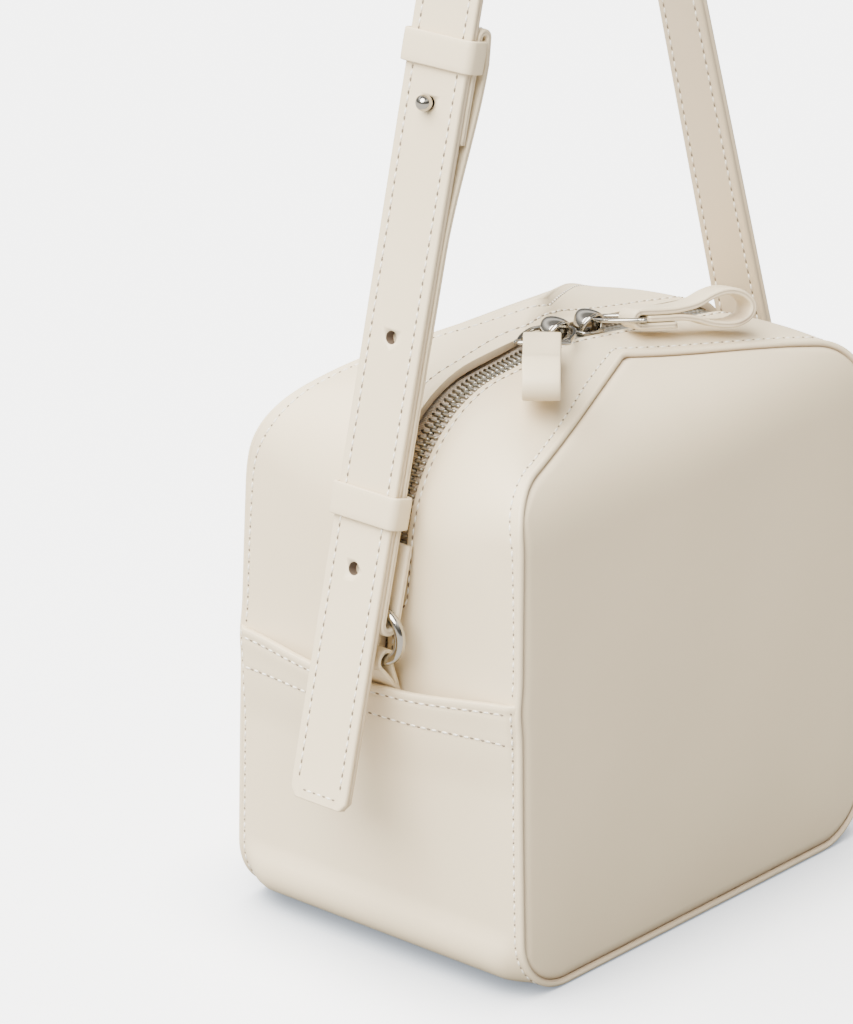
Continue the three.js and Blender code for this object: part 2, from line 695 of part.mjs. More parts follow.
// The strap's short part: round the ring at its foot, then out and over the upper keeper's back
// strand at its head, so that its end lies between the long strap and its own run
function strapShort() {
  const wrap = shortThickness / 2 + ringRoom + ringWire;
  const wrapAlong = wireAlong - wireRise(strapWidth / 2);
  const strand = keeperThickness / 2 + gap + shortThickness / 2;
  const foldAlong = upperKeeperHeight + keeperBand / 2 + gap;
  const path = [flat(wireOffset + wrap, wrapAlong + ringReturn), flat(wireOffset + wrap, wrapAlong + 8)];
  path.push(...arcPoints(flat(wireOffset, wrapAlong), wrap, 0, -Math.PI, 8));
  path.push(flat(shortOffset, lerp(wrapAlong, foldAlong, 0.5)));
  for (const share of [0, 0.25, 0.5, 0.75, 1]) {
    const along = foldAlong - foldRampTop - foldRamp * (1 - share);
    path.push(flat(shortOffset + (2 * strand + foldBow) * smooth(0, 1, share), along));
  }
  path.push(...arcPoints(flat(shortOffset + strand, foldAlong), strand, 0, Math.PI, 8));
  path.push(flat(shortOffset, foldAlong - foldReturn));
  const stations = path.map((p) => ({
    at: legPoint(p.y, p.x), turn: leftTurn * smooth(0, legLength, p.y), width: strapWidth, thickness: shortThickness,
  }));
  const drill = new THREE.CylinderGeometry(studNeck + gap, studNeck + gap, 2 * shortThickness, 12);
  drill.rotateZ(Math.PI / 2).translate(shortOffset, 0, studHeight).applyMatrix4(legPlace);
  return drilled(ribbon(stations), [drill]);
}

// A leather keeper: a flat band closed round the strap
function keeper(along) {
  const inner = { low: -strapThickness / 2 - gap, high: shortOffset + shortThickness / 2 + gap };
  const reach = strapWidth / 2 + 2 * gap;
  const box = (grow, Kind) => {
    const path = new Kind();
    path.moveTo(inner.low - grow, -reach - grow);
    path.lineTo(inner.high + grow, -reach - grow);
    path.lineTo(inner.high + grow, reach + grow);
    path.lineTo(inner.low - grow, reach + grow);
    path.closePath();
    return path;
  };
  const band = box(keeperThickness, THREE.Shape);
  band.holes.push(box(0, THREE.Path));
  const solid = new THREE.ExtrudeGeometry(band, { depth: keeperBand, bevelEnabled: false });
  solid.translate(0, 0, along - keeperBand / 2);
  solid.rotateZ(-leftTurn * smooth(0, legLength, along) * degrees);
  return solid.applyMatrix4(legPlace);
}

// The ball stud that holds the strap at its hole: back plate, neck and ball in one
function stud() {
  const back = shortOffset + shortThickness / 2 + gap;
  const ballAt = -strapThickness / 2 - studBall + 0.2;
  const outline = [flat(0, -back - studPlateThickness), flat(studPlate, -back - studPlateThickness)];
  outline.push(flat(studPlate, -back), flat(studNeck, -back));
  const start = Math.asin(studNeck / studBall);
  for (let i = 0; i <= 6; i += 1) {
    const angle = lerp(start, Math.PI, i / 6);
    outline.push(flat(studBall * Math.sin(angle), -ballAt - studBall * Math.cos(angle)));
  }
  outline.at(-1).setX(0);
  const solid = new THREE.LatheGeometry(outline, 12);
  solid.rotateZ(Math.PI / 2);
  solid.translate(0, 0, studHeight);
  return solid.applyMatrix4(legPlace);
}

// An oval wire ring standing in the plane across the strap
function ovalRing(x) {
  const radius = ringHalfHeight - ringWire;
  const straight = ringHalfLength - ringHalfHeight;
  const points = [];
  for (const end of [1, -1]) {
    for (let i = 0; i <= 8; i += 1) {
      const angle = end * lerp(-90, 90, i / 8) * degrees;
      points.push(vec(x, end * straight + end * radius * Math.cos(angle), ringZ + radius * Math.sin(angle)));
    }
  }
  const centre = vec(x, 0, ringZ);
  const rings = points.map((p, i) => {
    const before = points[(i + points.length - 1) % points.length];
    const after = points[(i + 1) % points.length];
    const tangent = after.clone().sub(before).normalize();
    const side = vec(1, 0, 0);
    const out = tangent.clone().cross(side).normalize();
    if (out.dot(p.clone().sub(centre)) < 0) out.negate();
    return Array.from({ length: 8 }, (_, k) => {
      const angle = ((k + 0.5) / 8) * 2 * Math.PI;
      return p.clone().addScaledVector(side, ringWire * Math.cos(angle)).addScaledVector(out, ringWire * Math.sin(angle));
    });
  });
  return loft(rings, true);
}

// An anchor tab: folded round the ring's lower wire, its two layers run down behind the belt
function tab(sign, ringX) {
  const bore = ringWire + gap + wireRise(tabWidth / 2);
  const round = bore + tabLayer;
  const seatX = zipBeltHalfWidth + leather / 2 + placketRise + 2 * gap;
  const beltZ = (beltFrontZ + beltBackZ) / 2 - beltDip;
  const inner = seatX;
  const outer = seatX + 2 * tabLayer;
  const centre = flat(Math.abs(ringX), bottomWireZ);
  const lower = (x) => Math.asin(Math.min(Math.max((x - centre.x) / round, -1), 1));
  const outline = new THREE.Shape();
  outline.moveTo(inner, beltZ - tabDepth);
  outline.lineTo(outer, beltZ - tabDepth);
  outline.lineTo(outer, beltZ + 1);
  const from = -Math.PI / 2 + Math.max(lower(outer), 0.2) + 0.5;
  const to = 1.5 * Math.PI + Math.max(lower(inner), -1.1);
  for (const p of arcPoints(centre, round, from, to, 14)) {
    if (p.x > inner) outline.lineTo(p.x, p.y);
  }
  outline.lineTo(inner, beltZ + 4);
  outline.closePath();
  const hole = new THREE.Path();
  hole.setFromPoints(arcPoints(centre, bore, 0, 2 * Math.PI, 14).slice(0, -1));
  hole.closePath();
  outline.holes.push(hole);
  const solid = new THREE.ExtrudeGeometry(outline, { depth: tabWidth, bevelEnabled: false });
  solid.translate(0, 0, -tabWidth / 2);
  solid.rotateX(Math.PI / 2);
  if (sign < 0) solid.rotateZ(Math.PI);
  return solid;
}

// Frame of a pull: its length runs from the bail's bar along a heading, drooping a little
function pullFrame({ root, heading, droop }) {
  const plan = heading * degrees;
  const fall = droop * degrees;
  const along = vec(Math.cos(plan) * Math.cos(fall), Math.sin(plan) * Math.cos(fall), -Math.sin(fall));
  const across = vec(-Math.sin(plan), Math.cos(plan), 0);
  const up = along.clone().cross(across).normalize();
  return { root: vec(root.x, root.y, root.z), along, across, up };
}

// A pull: one strip led round the bail's bar, out to a finger loop and back between its own layers
const pullPath = [
  { along: 16, up: 3.4 },
  { along: 21.5, up: 4 },
  { along: 27, up: 6.2 },
  { along: 32, up: 7.2 },
  { along: 37, up: 6.6 },
  { along: 40.8, up: 4.4 },
  { along: 42, up: 1.9 },
  { along: 40.5, up: -0.8 },
  { along: 36.5, up: -2.6 },
  { along: 31.5, up: -3 },
  { along: 26, up: -2.3 },
  { along: 21, up: -0.9 },
  { along: 15, up: 0 },
];
const shortEnd = 13;

function pull(entry) {
  const { root, along, across, up } = pullFrame(entry);
  const path = [flat(shortEnd, -pullPitch), flat(shortEnd / 2, -pullPitch)];
  path.push(...arcPoints(flat(0, 0), pullPitch, -Math.PI / 2, -1.5 * Math.PI, 6));
  path.push(flat(10, pullPitch));
  path.push(...pullPath.map((p) => flat(p.along, p.up)));
  path.push(flat(10, 0), flat(bailWire + gap + pullThickness / 2, 0));
  const rings = path.map((p, i) => {
    const before = path[Math.max(i - 1, 0)];
    const after = path[Math.min(i + 1, path.length - 1)];
    const tangent = after.clone().sub(before).normalize();
    const side = flat(-tangent.y, tangent.x).multiplyScalar(pullThickness / 2);
    return [[-1, 1], [1, 1], [1, -1], [-1, -1]].map(([a, b]) => root.clone()
      .addScaledVector(along, p.x + b * side.x)
      .addScaledVector(up, p.y + b * side.y)
      .addScaledVector(across, (a * pullWidth) / 2));
  });
  return loft(rings);
}

// A bail: a wire loop through the slider's bridge with a straight bar that the pull hangs on
function bail(entry) {
  const { root, across } = pullFrame(entry);
  const seat = zipAt(entry.slider);
  const eye = vec(entry.slider, zipY, seat.z + sliderSeat + sliderCap + sliderBridge - bridgeWall - bailWire - 2 * gap);
  const target = eye.clone().sub(root);
  const shape = [
    { out: bailHalfWidth - 1, in: 0 }, { out: bailHalfWidth, in: 0.12 }, { out: bailHalfWidth, in: 0.48 },
    { out: bailHalfWidth * 0.8, in: 0.84 }, { out: 2.8, in: 1 },
  ];
  const half = shape.map((s) => root.clone().addScaledVector(across, s.out).addScaledVector(target, s.in));
  const other = shape.map((s) => root.clone().addScaledVector(across, -s.out).addScaledVector(target, s.in));
  const points = [...half, ...other.reverse()];
  const normal = across.clone().cross(target).normalize();
  const rings = points.map((p, i) => {
    const before = points[(i + points.length - 1) % points.length];
    const after = points[(i + 1) % points.length];
    const tangent = after.clone().sub(before).normalize();
    const side = tangent.clone().cross(normal).normalize();
    return Array.from({ length: 6 }, (_, k) => {
      const angle = (k / 6) * 2 * Math.PI;
      return p.clone().addScaledVector(side, bailWire * Math.cos(angle)).addScaledVector(normal, bailWire * Math.sin(angle));
    });
  });
  return loft(rings, true);
}

// Assembly: everything is placed from the base and lowered so that the crown's inside is the origin
const bag = new THREE.Group();
bag.position.set(-crown.x, -strapY, -(crown.z + crownRadius - strapThickness / 2));
const carry = new THREE.Group();
carry.position.y = strapY;
bag.add(carry);

function add(name, geometry, finish, group = bag) {
  const mesh = new THREE.Mesh(geometry, new THREE.MeshStandardMaterial(finish));
  mesh.name = name;
  group.add(mesh);
}

add('front_panel', panel(sides.front), cream);
add('back_panel', panel(sides.back), cream);
add('base_gusset', lowerGusset(), cream);
add('zip_gusset_front', upperGusset(sides.front), cream);
add('zip_gusset_back', upperGusset(sides.back), cream);
add('piping_front', piping(sides.front), cream);
add('piping_back', piping(sides.back), cream);
add('zip_tape_front', zipTape(sides.front), weave);
add('zip_tape_back', zipTape(sides.back), weave);
add('zip_teeth', zipStrip(-chainWidth / 2, chainWidth / 2, chainBottom, chainTop, zipClosedSpans), nickel);
for (const entry of pulls) {
  add(`slider_${entry.name}`, slider(entry.slider), nickel);
  add(`bail_${entry.name}`, bail(entry), nickel);
  add(`pull_${entry.name}`, pull(entry), cream);
}
add('strap_long', strapLong(), cream, carry);
add('strap_short', strapShort(), cream, carry);
add('keeper_upper', keeper(upperKeeperHeight), cream, carry);
add('keeper_lower', keeper(0), cream, carry);
add('strap_stud', stud(), nickel, carry);
add('ring_left', ovalRing(leftRingX), nickel, carry);
add('ring_right', ovalRing(rightRingX), nickel, carry);
add('tab_left', tab(-1, leftRingX), cream, carry);
add('tab_right', tab(1, rightRingX), cream, carry);

const object = new THREE.Group();
object.add(bag);

export default object;
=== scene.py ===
import math

import bmesh
import bpy
import numpy as np
from mathutils import Euler, Matrix, Vector


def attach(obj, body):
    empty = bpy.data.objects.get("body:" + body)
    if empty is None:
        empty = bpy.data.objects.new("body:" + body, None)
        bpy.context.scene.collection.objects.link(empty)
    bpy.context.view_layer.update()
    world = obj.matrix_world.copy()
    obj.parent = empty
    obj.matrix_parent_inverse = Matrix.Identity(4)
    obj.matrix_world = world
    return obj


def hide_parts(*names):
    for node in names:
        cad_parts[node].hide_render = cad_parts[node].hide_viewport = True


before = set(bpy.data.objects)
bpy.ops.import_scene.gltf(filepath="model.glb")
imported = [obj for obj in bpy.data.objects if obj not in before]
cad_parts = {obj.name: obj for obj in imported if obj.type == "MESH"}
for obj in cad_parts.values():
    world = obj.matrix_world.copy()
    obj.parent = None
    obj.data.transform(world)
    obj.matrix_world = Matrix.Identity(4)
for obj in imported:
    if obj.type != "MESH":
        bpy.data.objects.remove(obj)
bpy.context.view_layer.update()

# The studio: a pale seamless floor under soft light that comes mostly from the left and above.
# The bag stands on the floor and its strap is held up from above the picture.
# The lengths of the floor and of the camera's place are in metres.
base_from_origin = np.array([5.0, 4.0, -452.7])
floor_reach = 12.0
floor_drop = 0.0002
# The floor's painted contact shadow: how far its ambient occlusion reaches, and its darkest tone.
painted_shadow_reach = 0.045
painted_shadow_tone = (0.30, 0.33, 0.37)
floor_seen_tone = (0.88, 0.885, 0.89)
floor_bounce_tone = (0.33, 0.32, 0.305)
camera_place = (-1.4177, -1.20032, 0.41037)
camera_turn = (68.6397, 0.2887, -48.4829)
camera_lens = 203.12
lamps = {
    "window_light": dict(power=10.2, spread=50, tone=(1.0, 0.985, 0.96), way=(0.65, 0.10, -0.75),
                         mirrored=True),
    "sky_light": dict(power=7.2, spread=60, tone=(1.0, 1.0, 1.0), way=(0.12, -0.42, -0.9), mirrored=False),
}
air_strength = 1.35
air_lit_tone = (0.98, 0.97, 0.95)
air_shade_tone = (0.22, 0.22, 0.224)
air_front_lean = -1.35
air_side_lean = 0.38
pane_low_tone = (0.06, 0.055, 0.05)
pane_high_tone = (0.25, 0.24, 0.23)
pane_levels = ((0.38, 0.06), (0.46, 1.2), (0.53, 0.12), (0.64, 0.05), (0.74, 0.4), (0.84, 1.9), (0.91, 0.3))
pane_warmth = (1.0, 0.985, 0.96)
pane_share = 0.8


def add_node(tree, kind, sockets=(), **options):
    """A node with its own options, and pairs of a socket and its value."""
    made = tree.nodes.new(kind)
    for option, value in options.items():
        setattr(made, option, value)
    for socket, value in sockets:
        made.inputs[socket].default_value = value
    return made


def wire_up(tree, *links):
    """Each link is a node and its output, then a node and its input."""
    for giver, output, taker, socket in links:
        tree.links.new(giver.outputs[output], taker.inputs[socket])


def colour_ramp(tree, first, last, between=()):
    """A colour ramp through stops, each a place and a colour."""
    made = tree.nodes.new("ShaderNodeValToRGB")
    for end, (place, tone) in zip(made.color_ramp.elements, (first, last)):
        end.position = place
        end.color = (*tone, 1)
    for place, tone in between:
        made.color_ramp.elements.new(place).color = (*tone, 1)
    return made


def new_finish(name, sockets=()):
    """A new material, its node tree and its Principled shader with some sockets set."""
    material = bpy.data.materials.new(name)
    material.use_nodes = True
    shader = material.node_tree.nodes["Principled BSDF"]
    for socket, value in sockets:
        shader.inputs[socket].default_value = value
    return material, material.node_tree, shader


def floor_finish():
    """Pale where the camera sees it, darker in the light that it sends back, with a painted shadow under the
    bag.
    """
    material, tree, shader = new_finish("studio_floor", [("Roughness", 0.9), ("Specular IOR Level", 0.1)])
    ray = add_node(tree, "ShaderNodeLightPath")
    tone = add_node(tree, "ShaderNodeMix", data_type="RGBA")
    tone.inputs["A"].default_value = (*floor_bounce_tone, 1)
    tone.inputs["B"].default_value = (*floor_seen_tone, 1)
    # Painted shadow: ambient occlusion darkens the floor's colour and its glow under the bag.
    painted_shadow = add_node(tree, "ShaderNodeAmbientOcclusion", [("Distance", painted_shadow_reach)], samples=12)
    shade = colour_ramp(tree, (0.25, painted_shadow_tone), (0.98, (1, 1, 1)))
    under = add_node(tree, "ShaderNodeMix", data_type="RGBA", blend_type="MULTIPLY")
    under.inputs["Factor"].default_value = 1.0
    wire_up(tree,
            (ray, "Is Camera Ray", tone, "Factor"), (painted_shadow, "AO", shade, "Fac"),
            (tone, "Result", under, "A"), (shade, "Color", under, "B"),
            (under, "Result", shader, "Base Color"), (shade, "Color", shader, "Emission Color"),
            (ray, "Is Camera Ray", shader, "Emission Strength"))
    return material


floor_mesh = bpy.data.meshes.new("studio_floor")
floor_level = base_from_origin[2] / 1000 - floor_drop
floor_corners = [(x * floor_reach, y * floor_reach, floor_level)
                 for x, y in ((-1, -1), (1, -1), (1, 1), (-1, 1))]
floor_mesh.from_pydata(floor_corners, [], [(0, 1, 2, 3)])
floor_mesh.materials.append(floor_finish())
studio_floor = bpy.data.objects.new("studio_floor", floor_mesh)
bpy.context.scene.collection.objects.link(studio_floor)

camera_data = bpy.data.cameras.new("photo_camera")
camera_data.sensor_fit = "VERTICAL"
camera_data.sensor_height = 36
camera_data.lens = camera_lens
camera_data.clip_end = 60
photo_camera = bpy.data.objects.new("photo_camera", camera_data)
photo_camera.location = camera_place
photo_camera.rotation_euler = Euler([math.radians(a) for a in camera_turn])
bpy.context.scene.collection.objects.link(photo_camera)
bpy.context.scene.camera = photo_camera

for name, lamp in lamps.items():
    lamp_data = bpy.data.lights.new(name, "SUN")
    lamp_data.energy = lamp["power"]
    lamp_data.angle = math.radians(lamp["spread"])
    lamp_data.color = lamp["tone"]
    light = bpy.data.objects.new(name, lamp_data)
    light.rotation_euler = Vector(lamp["way"]).to_track_quat("-Z", "Y").to_euler()
    light.visible_glossy = lamp["mirrored"]
    bpy.context.scene.collection.objects.link(light)

# The air is brighter behind and to the left. What the metal mirrors is a run of panes by height.
studio_air = bpy.data.worlds.new("studio_air")
bpy.context.scene.world = studio_air
studio_air.use_nodes = True
air = studio_air.node_tree
air_background = air.nodes["Background"]
air_background.inputs["Strength"].default_value = air_strength
air_place = add_node(air, "ShaderNodeTexCoord")
air_split = add_node(air, "ShaderNodeSeparateXYZ")
air_lean = add_node(air, "ShaderNodeMath", [(1, air_front_lean)], operation="MULTIPLY_ADD")
air_across = add_node(air, "ShaderNodeMath", [(1, air_side_lean), (2, 0.5)], operation="MULTIPLY_ADD")
air_tone = colour_ramp(air, (0.0, air_lit_tone), (1.0, air_shade_tone))
air_height = add_node(air, "ShaderNodeMath", [(1, 0.5), (2, 0.5)], operation="MULTIPLY_ADD")
air_panes = colour_ramp(air, (0.0, pane_low_tone), (1.0, pane_high_tone),
                        [(place, [level * c for c in pane_warmth]) for place, level in pane_levels])
air_path = add_node(air, "ShaderNodeLightPath")
air_mirror = add_node(air, "ShaderNodeMath", [(1, pane_share)], operation="MULTIPLY")
air_choice = add_node(air, "ShaderNodeMix", data_type="RGBA")
wire_up(air,
        (air_place, "Generated", air_split, 0),
        (air_split, "Y", air_lean, 0), (air_split, "X", air_lean, 2),
        (air_lean, 0, air_across, 0), (air_across, 0, air_tone, "Fac"),
        (air_split, "Z", air_height, 0), (air_height, 0, air_panes, "Fac"),
        (air_path, "Is Glossy Ray", air_mirror, 0), (air_mirror, 0, air_choice, "Factor"),
        (air_tone, "Color", air_choice, "A"), (air_panes, "Color", air_choice, "B"),
        (air_choice, "Result", air_background, "Color"))


# The two panels: each is one five-sided piece of smooth cream calf, cut with a soft shoulder fold
# so that its top triangle lies back over the bag. Its edge is turned down into the piping's seam.
leather = 1.8
piping_radius = 1.25
base_half_width = 93.2
base_half_depth = 64.6
side_bow = 1.3
base_corner = 22.0
tip_radius = 6.0
panel_crown = 1.6
shoulder_half_width = 91.3
belt_bump = 0.9
belt_bump_drop = 3.0
belt_bump_width = 7.0
rise_from = 0.55
sides = {
    "front": dict(sign=-1, shoulder=182.5, half_width=91.3, half_depth=62.4, radius=26, softness=22,
                  apex=(-28.8, 198.7), belt=109.5, right_rise=5.0, facet_sag=0.5, facet_drop=0.0),
    "back": dict(sign=1, shoulder=186.5, half_width=87.3, half_depth=61.2, radius=36, softness=30,
                 apex=(6.4, 210.5), belt=104.0, right_rise=-3.0, facet_sag=1.9, facet_drop=5.0),
}
for side in sides.values():
    rise = side["apex"][1] - side["shoulder"]
    run = side["sign"] * side["half_depth"] - side["apex"][0]
    side["facet"] = math.hypot(run, rise)
    side["slope"] = np.array([-run, rise]) / side["facet"]
    side["pitch"] = math.atan(side["facet"] / shoulder_half_width)
    side["fold"] = side["shoulder"] - piping_radius
calf_light = (0.685, 0.572, 0.385)
calf_dark = (0.667, 0.554, 0.368)
# The tan that marks painted shade at seams, on the piping, under the pulls' tips and on the strap's inner
# face, and the paint on cut edges.
shade_and_edge_paint_tan = (0.36, 0.27, 0.18)
calf_roughness = 0.46
pore_scale = 1500
pore_strength = 0.05


def calf_grain_group():
    """The pores and the faint cloudiness of smooth calf, as a height and a tone."""
    group = bpy.data.node_groups.new("calf_grain", "ShaderNodeTree")
    for socket, way in (("Pore Scale", "INPUT"), ("Tone", "OUTPUT"), ("Height", "OUTPUT")):
        group.interface.new_socket(socket, in_out=way, socket_type="NodeSocketFloat")
    entry = add_node(group, "NodeGroupInput")
    leave = add_node(group, "NodeGroupOutput")
    place = add_node(group, "ShaderNodeTexCoord")
    pores = add_node(group, "ShaderNodeTexVoronoi", feature="SMOOTH_F1")
    cloud = add_node(group, "ShaderNodeTexNoise", [("Scale", 26), ("Detail", 5)])
    fine = add_node(group, "ShaderNodeTexNoise", [("Scale", 900), ("Detail", 3)])
    both = add_node(group, "ShaderNodeMath", operation="ADD")
    wire_up(group,
            (place, "Object", pores, "Vector"), (place, "Object", cloud, "Vector"),
            (place, "Object", fine, "Vector"), (entry, "Pore Scale", pores, "Scale"),
            (pores, "Distance", both, 0), (fine, "Fac", both, 1),
            (both, 0, leave, "Height"), (cloud, "Fac", leave, "Tone"))
    return group


calf_grain = calf_grain_group()


def leather_finish(name, light, dark, roughness=calf_roughness):
    """Dyed calf from a light to a dark tone, mixed towards tan for painted shade and for the paint on cut
    edges.
    """
    material, tree, shader = new_finish(name, [("Specular IOR Level", 0.42), ("Coat Weight", 0.08),
                                               ("Coat Roughness", 0.4)])
    grain = add_node(tree, "ShaderNodeGroup", node_tree=calf_grain)
    grain.inputs["Pore Scale"].default_value = pore_scale
    tone = colour_ramp(tree, (0.3, dark), (0.7, light))
    shade_and_edge_paint = add_node(tree, "ShaderNodeAttribute", attribute_name="shade_and_edge_paint")
    mix = add_node(tree, "ShaderNodeMix", data_type="RGBA")
    mix.inputs["B"].default_value = (*shade_and_edge_paint_tan, 1)
    bump = add_node(tree, "ShaderNodeBump", [("Strength", pore_strength), ("Distance", 0.0004)])
    sheen = add_node(tree, "ShaderNodeMapRange", [("To Min", roughness - 0.05), ("To Max", roughness + 0.07)])
    wire_up(tree,
            (grain, "Tone", tone, "Fac"), (tone, "Color", mix, "A"), (shade_and_edge_paint, "Fac", mix, "Factor"),
            (mix, "Result", shader, "Base Color"), (grain, "Height", bump, "Height"),
            (bump, "Normal", shader, "Normal"), (grain, "Tone", sheen, "Value"),
            (sheen, 0, shader, "Roughness"))
    return material


cream_calf = leather_finish("cream_calf", calf_light, calf_dark)


def finished_mesh(piece):
    """The piece's mesh becomes plain, as its modifiers leave it, and they go."""
    finished = bpy.data.meshes.new_from_object(piece.evaluated_get(bpy.context.evaluated_depsgraph_get()))
    piece.modifiers.clear()
    piece.data = finished
    return finished


def make_piece(name, shape, finish, nodes, edge=0.0, shade_and_edge_paint=None):
    """A finished piece from points in millimetres and faces, in the place of the nodes it stands for."""
    points, faces = shape
    mesh = bpy.data.meshes.new(name)
    mesh.from_pydata(((np.asarray(points) + base_from_origin) / 1000).tolist(), [], faces)
    if shade_and_edge_paint is not None:
        shades = np.ravel(shade_and_edge_paint).astype(np.float32)
        mesh.attributes.new("shade_and_edge_paint", "FLOAT", "POINT").data.foreach_set("value", shades)
    solid = bmesh.new()
    solid.from_mesh(mesh)
    bmesh.ops.recalc_face_normals(solid, faces=solid.faces)
    for face in solid.faces:
        face.smooth = True
    solid.to_mesh(mesh)
    solid.free()
    mesh.materials.append(finish)
    piece = bpy.data.objects.new(name, mesh)
    bpy.context.scene.collection.objects.link(piece)
    if edge:
        bevel = piece.modifiers.new("rounded_edges", "BEVEL")
        bevel.width = edge / 1000
        bevel.segments = 3
        bevel.limit_method = "ANGLE"
        bevel.angle_limit = math.radians(40)
        bevel.harden_normals = True
        finished_mesh(piece).name = name
    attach(piece, "root")
    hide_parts(*nodes)
    return piece


def loft(rings, loop=False):
    """Quads through rings of points, with the ends closed across the ring."""
    rings = np.asarray(rings, float)
    count, n = rings.shape[:2]
    faces = []
    for i in range(count if loop else count - 1):
        a, b = i * n, ((i + 1) % count) * n
        faces += [(a + k, a + (k + 1) % n, b + (k + 1) % n, b + k) for k in range(n)]
    if not loop:
        last = (count - 1) * n
        for k in range(n // 2 - 1):
            twin = n - 1 - k
            faces.append((k, twin, twin - 1, k + 1))
            faces.append((last + k, last + k + 1, last + twin - 1, last + twin))
    return rings.reshape(-1, 3), faces


def unit(v):
    return v / np.maximum(np.linalg.norm(v, axis=-1, keepdims=True), 1e-9)


def sheet_normals(grid, outward):
    normals = unit(np.cross(np.gradient(grid, axis=0), np.gradient(grid, axis=1)))
    facing = np.sum(normals * outward, axis=-1, keepdims=True)
    return np.where(facing < 0, -normals, normals)


def sheet(grid, outer, inner, outward):
    """Leather with a wall: the grid of points carried out and in along its own normals."""
    normals = sheet_normals(grid, outward)
    outside = grid + normals * np.reshape(outer, np.shape(outer) + (1,) * (3 - np.ndim(outer)))
    inside = grid + normals * inner
    return loft(np.concatenate([outside, inside[:, ::-1]], axis=1))


def smooth(low, high, value):
    t = np.clip((np.asarray(value, float) - low) / (high - low), 0, 1)
    return t * t * (3 - 2 * t)


def swelling(distance, height, width):
    """A rounded ridge, by the distance from its middle line."""
    return height * np.exp(-(distance / width) ** 2)


def profile(side, t):
    """The panel's bent section, as Y and Z at a height up its flat sheet."""
    level = piping_radius + t
    narrowing = side["half_depth"] - base_half_depth
    lean = base_half_depth + narrowing * min(level / side["shoulder"], 1)
    corner = np.array([side["sign"] * side["half_depth"], side["shoulder"]])
    soft, fold = side["softness"], side["fold"]
    if t <= fold - soft:
        return np.array([side["sign"] * lean, level])
    if t >= fold + soft:
        return corner + side["slope"] * (t - fold)
    w = (t - fold + soft) / (2 * soft)
    start_lean = base_half_depth + narrowing * (side["shoulder"] - soft) / side["shoulder"]
    start = np.array([side["sign"] * start_lean, side["shoulder"] - soft])
    end = corner + side["slope"] * soft
    return start * (1 - w) ** 2 + corner * 2 * w * (1 - w) + end * w * w


def panel_point(side, x, t, lift=0.0):
    """A point of the panel from its place on the flat sheet, lifted off it by a distance."""
    shoulder = side["shoulder"]
    share = min(max(t / shoulder, 0), 1)
    half = base_half_width + (side["half_width"] - base_half_width) * share
    half += side_bow * math.sin(math.pi * share)
    half += swelling(t + piping_radius - side["belt"] + belt_bump_drop, belt_bump, belt_bump_width)
    y, z = profile(side, t)
    z += side["right_rise"] * smooth(0, shoulder_half_width, x) * smooth(rise_from * shoulder, shoulder, t)
    run = profile(side, t + 1) - profile(side, t - 1)
    normal = np.array([0, -run[1], run[0]]) / math.hypot(*run)
    if normal[1] * side["sign"] < 0:
        normal = -normal
    return np.array([x / shoulder_half_width * half, y, z]) + normal * lift


def panel_edge(side, x, inset):
    """Lowest and highest place of the panel's outline on its sheet, at a place across it."""
    half = shoulder_half_width - inset
    reach = abs(x)
    base_radius = base_corner - inset
    beyond = max(reach - (half - base_radius), 0)
    bottom = inset + base_radius - math.sqrt(max(base_radius ** 2 - beyond ** 2, 0))
    pitch = side["pitch"]
    roof = lambda r: side["fold"] + (shoulder_half_width - r) * math.tan(pitch) - inset / math.cos(pitch)
    radius = side["radius"] - inset
    centre = half - radius
    top = roof(reach)
    if reach > centre + radius * math.sin(pitch):
        top = roof(centre) - radius / math.cos(pitch) + math.sqrt(max(radius ** 2 - (reach - centre) ** 2, 0))
    if reach < tip_radius * math.sin(pitch):
        top = roof(0) - tip_radius / math.cos(pitch) + math.sqrt(tip_radius ** 2 - reach ** 2)
    return bottom, top


panel_inset = 1.35
panel_columns = 90
panel_levels = 84
edge_roll = 1.5
edge_roll_width = 3.4
seam_shade = 0.95
seam_shade_reach = (0.2, 1.9)
drop_from_seam = 16.0
drop_from_peak = (26.0, 70.0)
drop_from_fold = (-25.0, 15.0)
ripple_height = 0.22


def panel_lift(side, x, t, share, half, away):
    """How far the panel's skin stands off its flat sheet: fuller in the middle, rolled down at the edge."""
    full = panel_crown * math.sqrt(max(1 - (x / half) ** 2, 0)) * math.sin(math.pi * share)
    full *= 1 - side["facet_sag"] * smooth(side["fold"] * 0.9, side["fold"] + side["facet"] * 0.4, t)
    from_peak = math.hypot(x, side["fold"] + side["facet"] - t)
    over_fold = smooth(*drop_from_fold, t - side["fold"])
    drop = side["facet_drop"] * smooth(0, drop_from_seam, away)
    full -= drop * smooth(*drop_from_peak, from_peak) * over_fold
    roll = edge_roll * (1 - min(away / edge_roll_width, 1)) ** 2
    ripple = ripple_height * math.sin(x * 0.071 + 1.3) * math.sin(t * 0.046 + 0.6) * smooth(0, 25, away)
    return full - roll + ripple


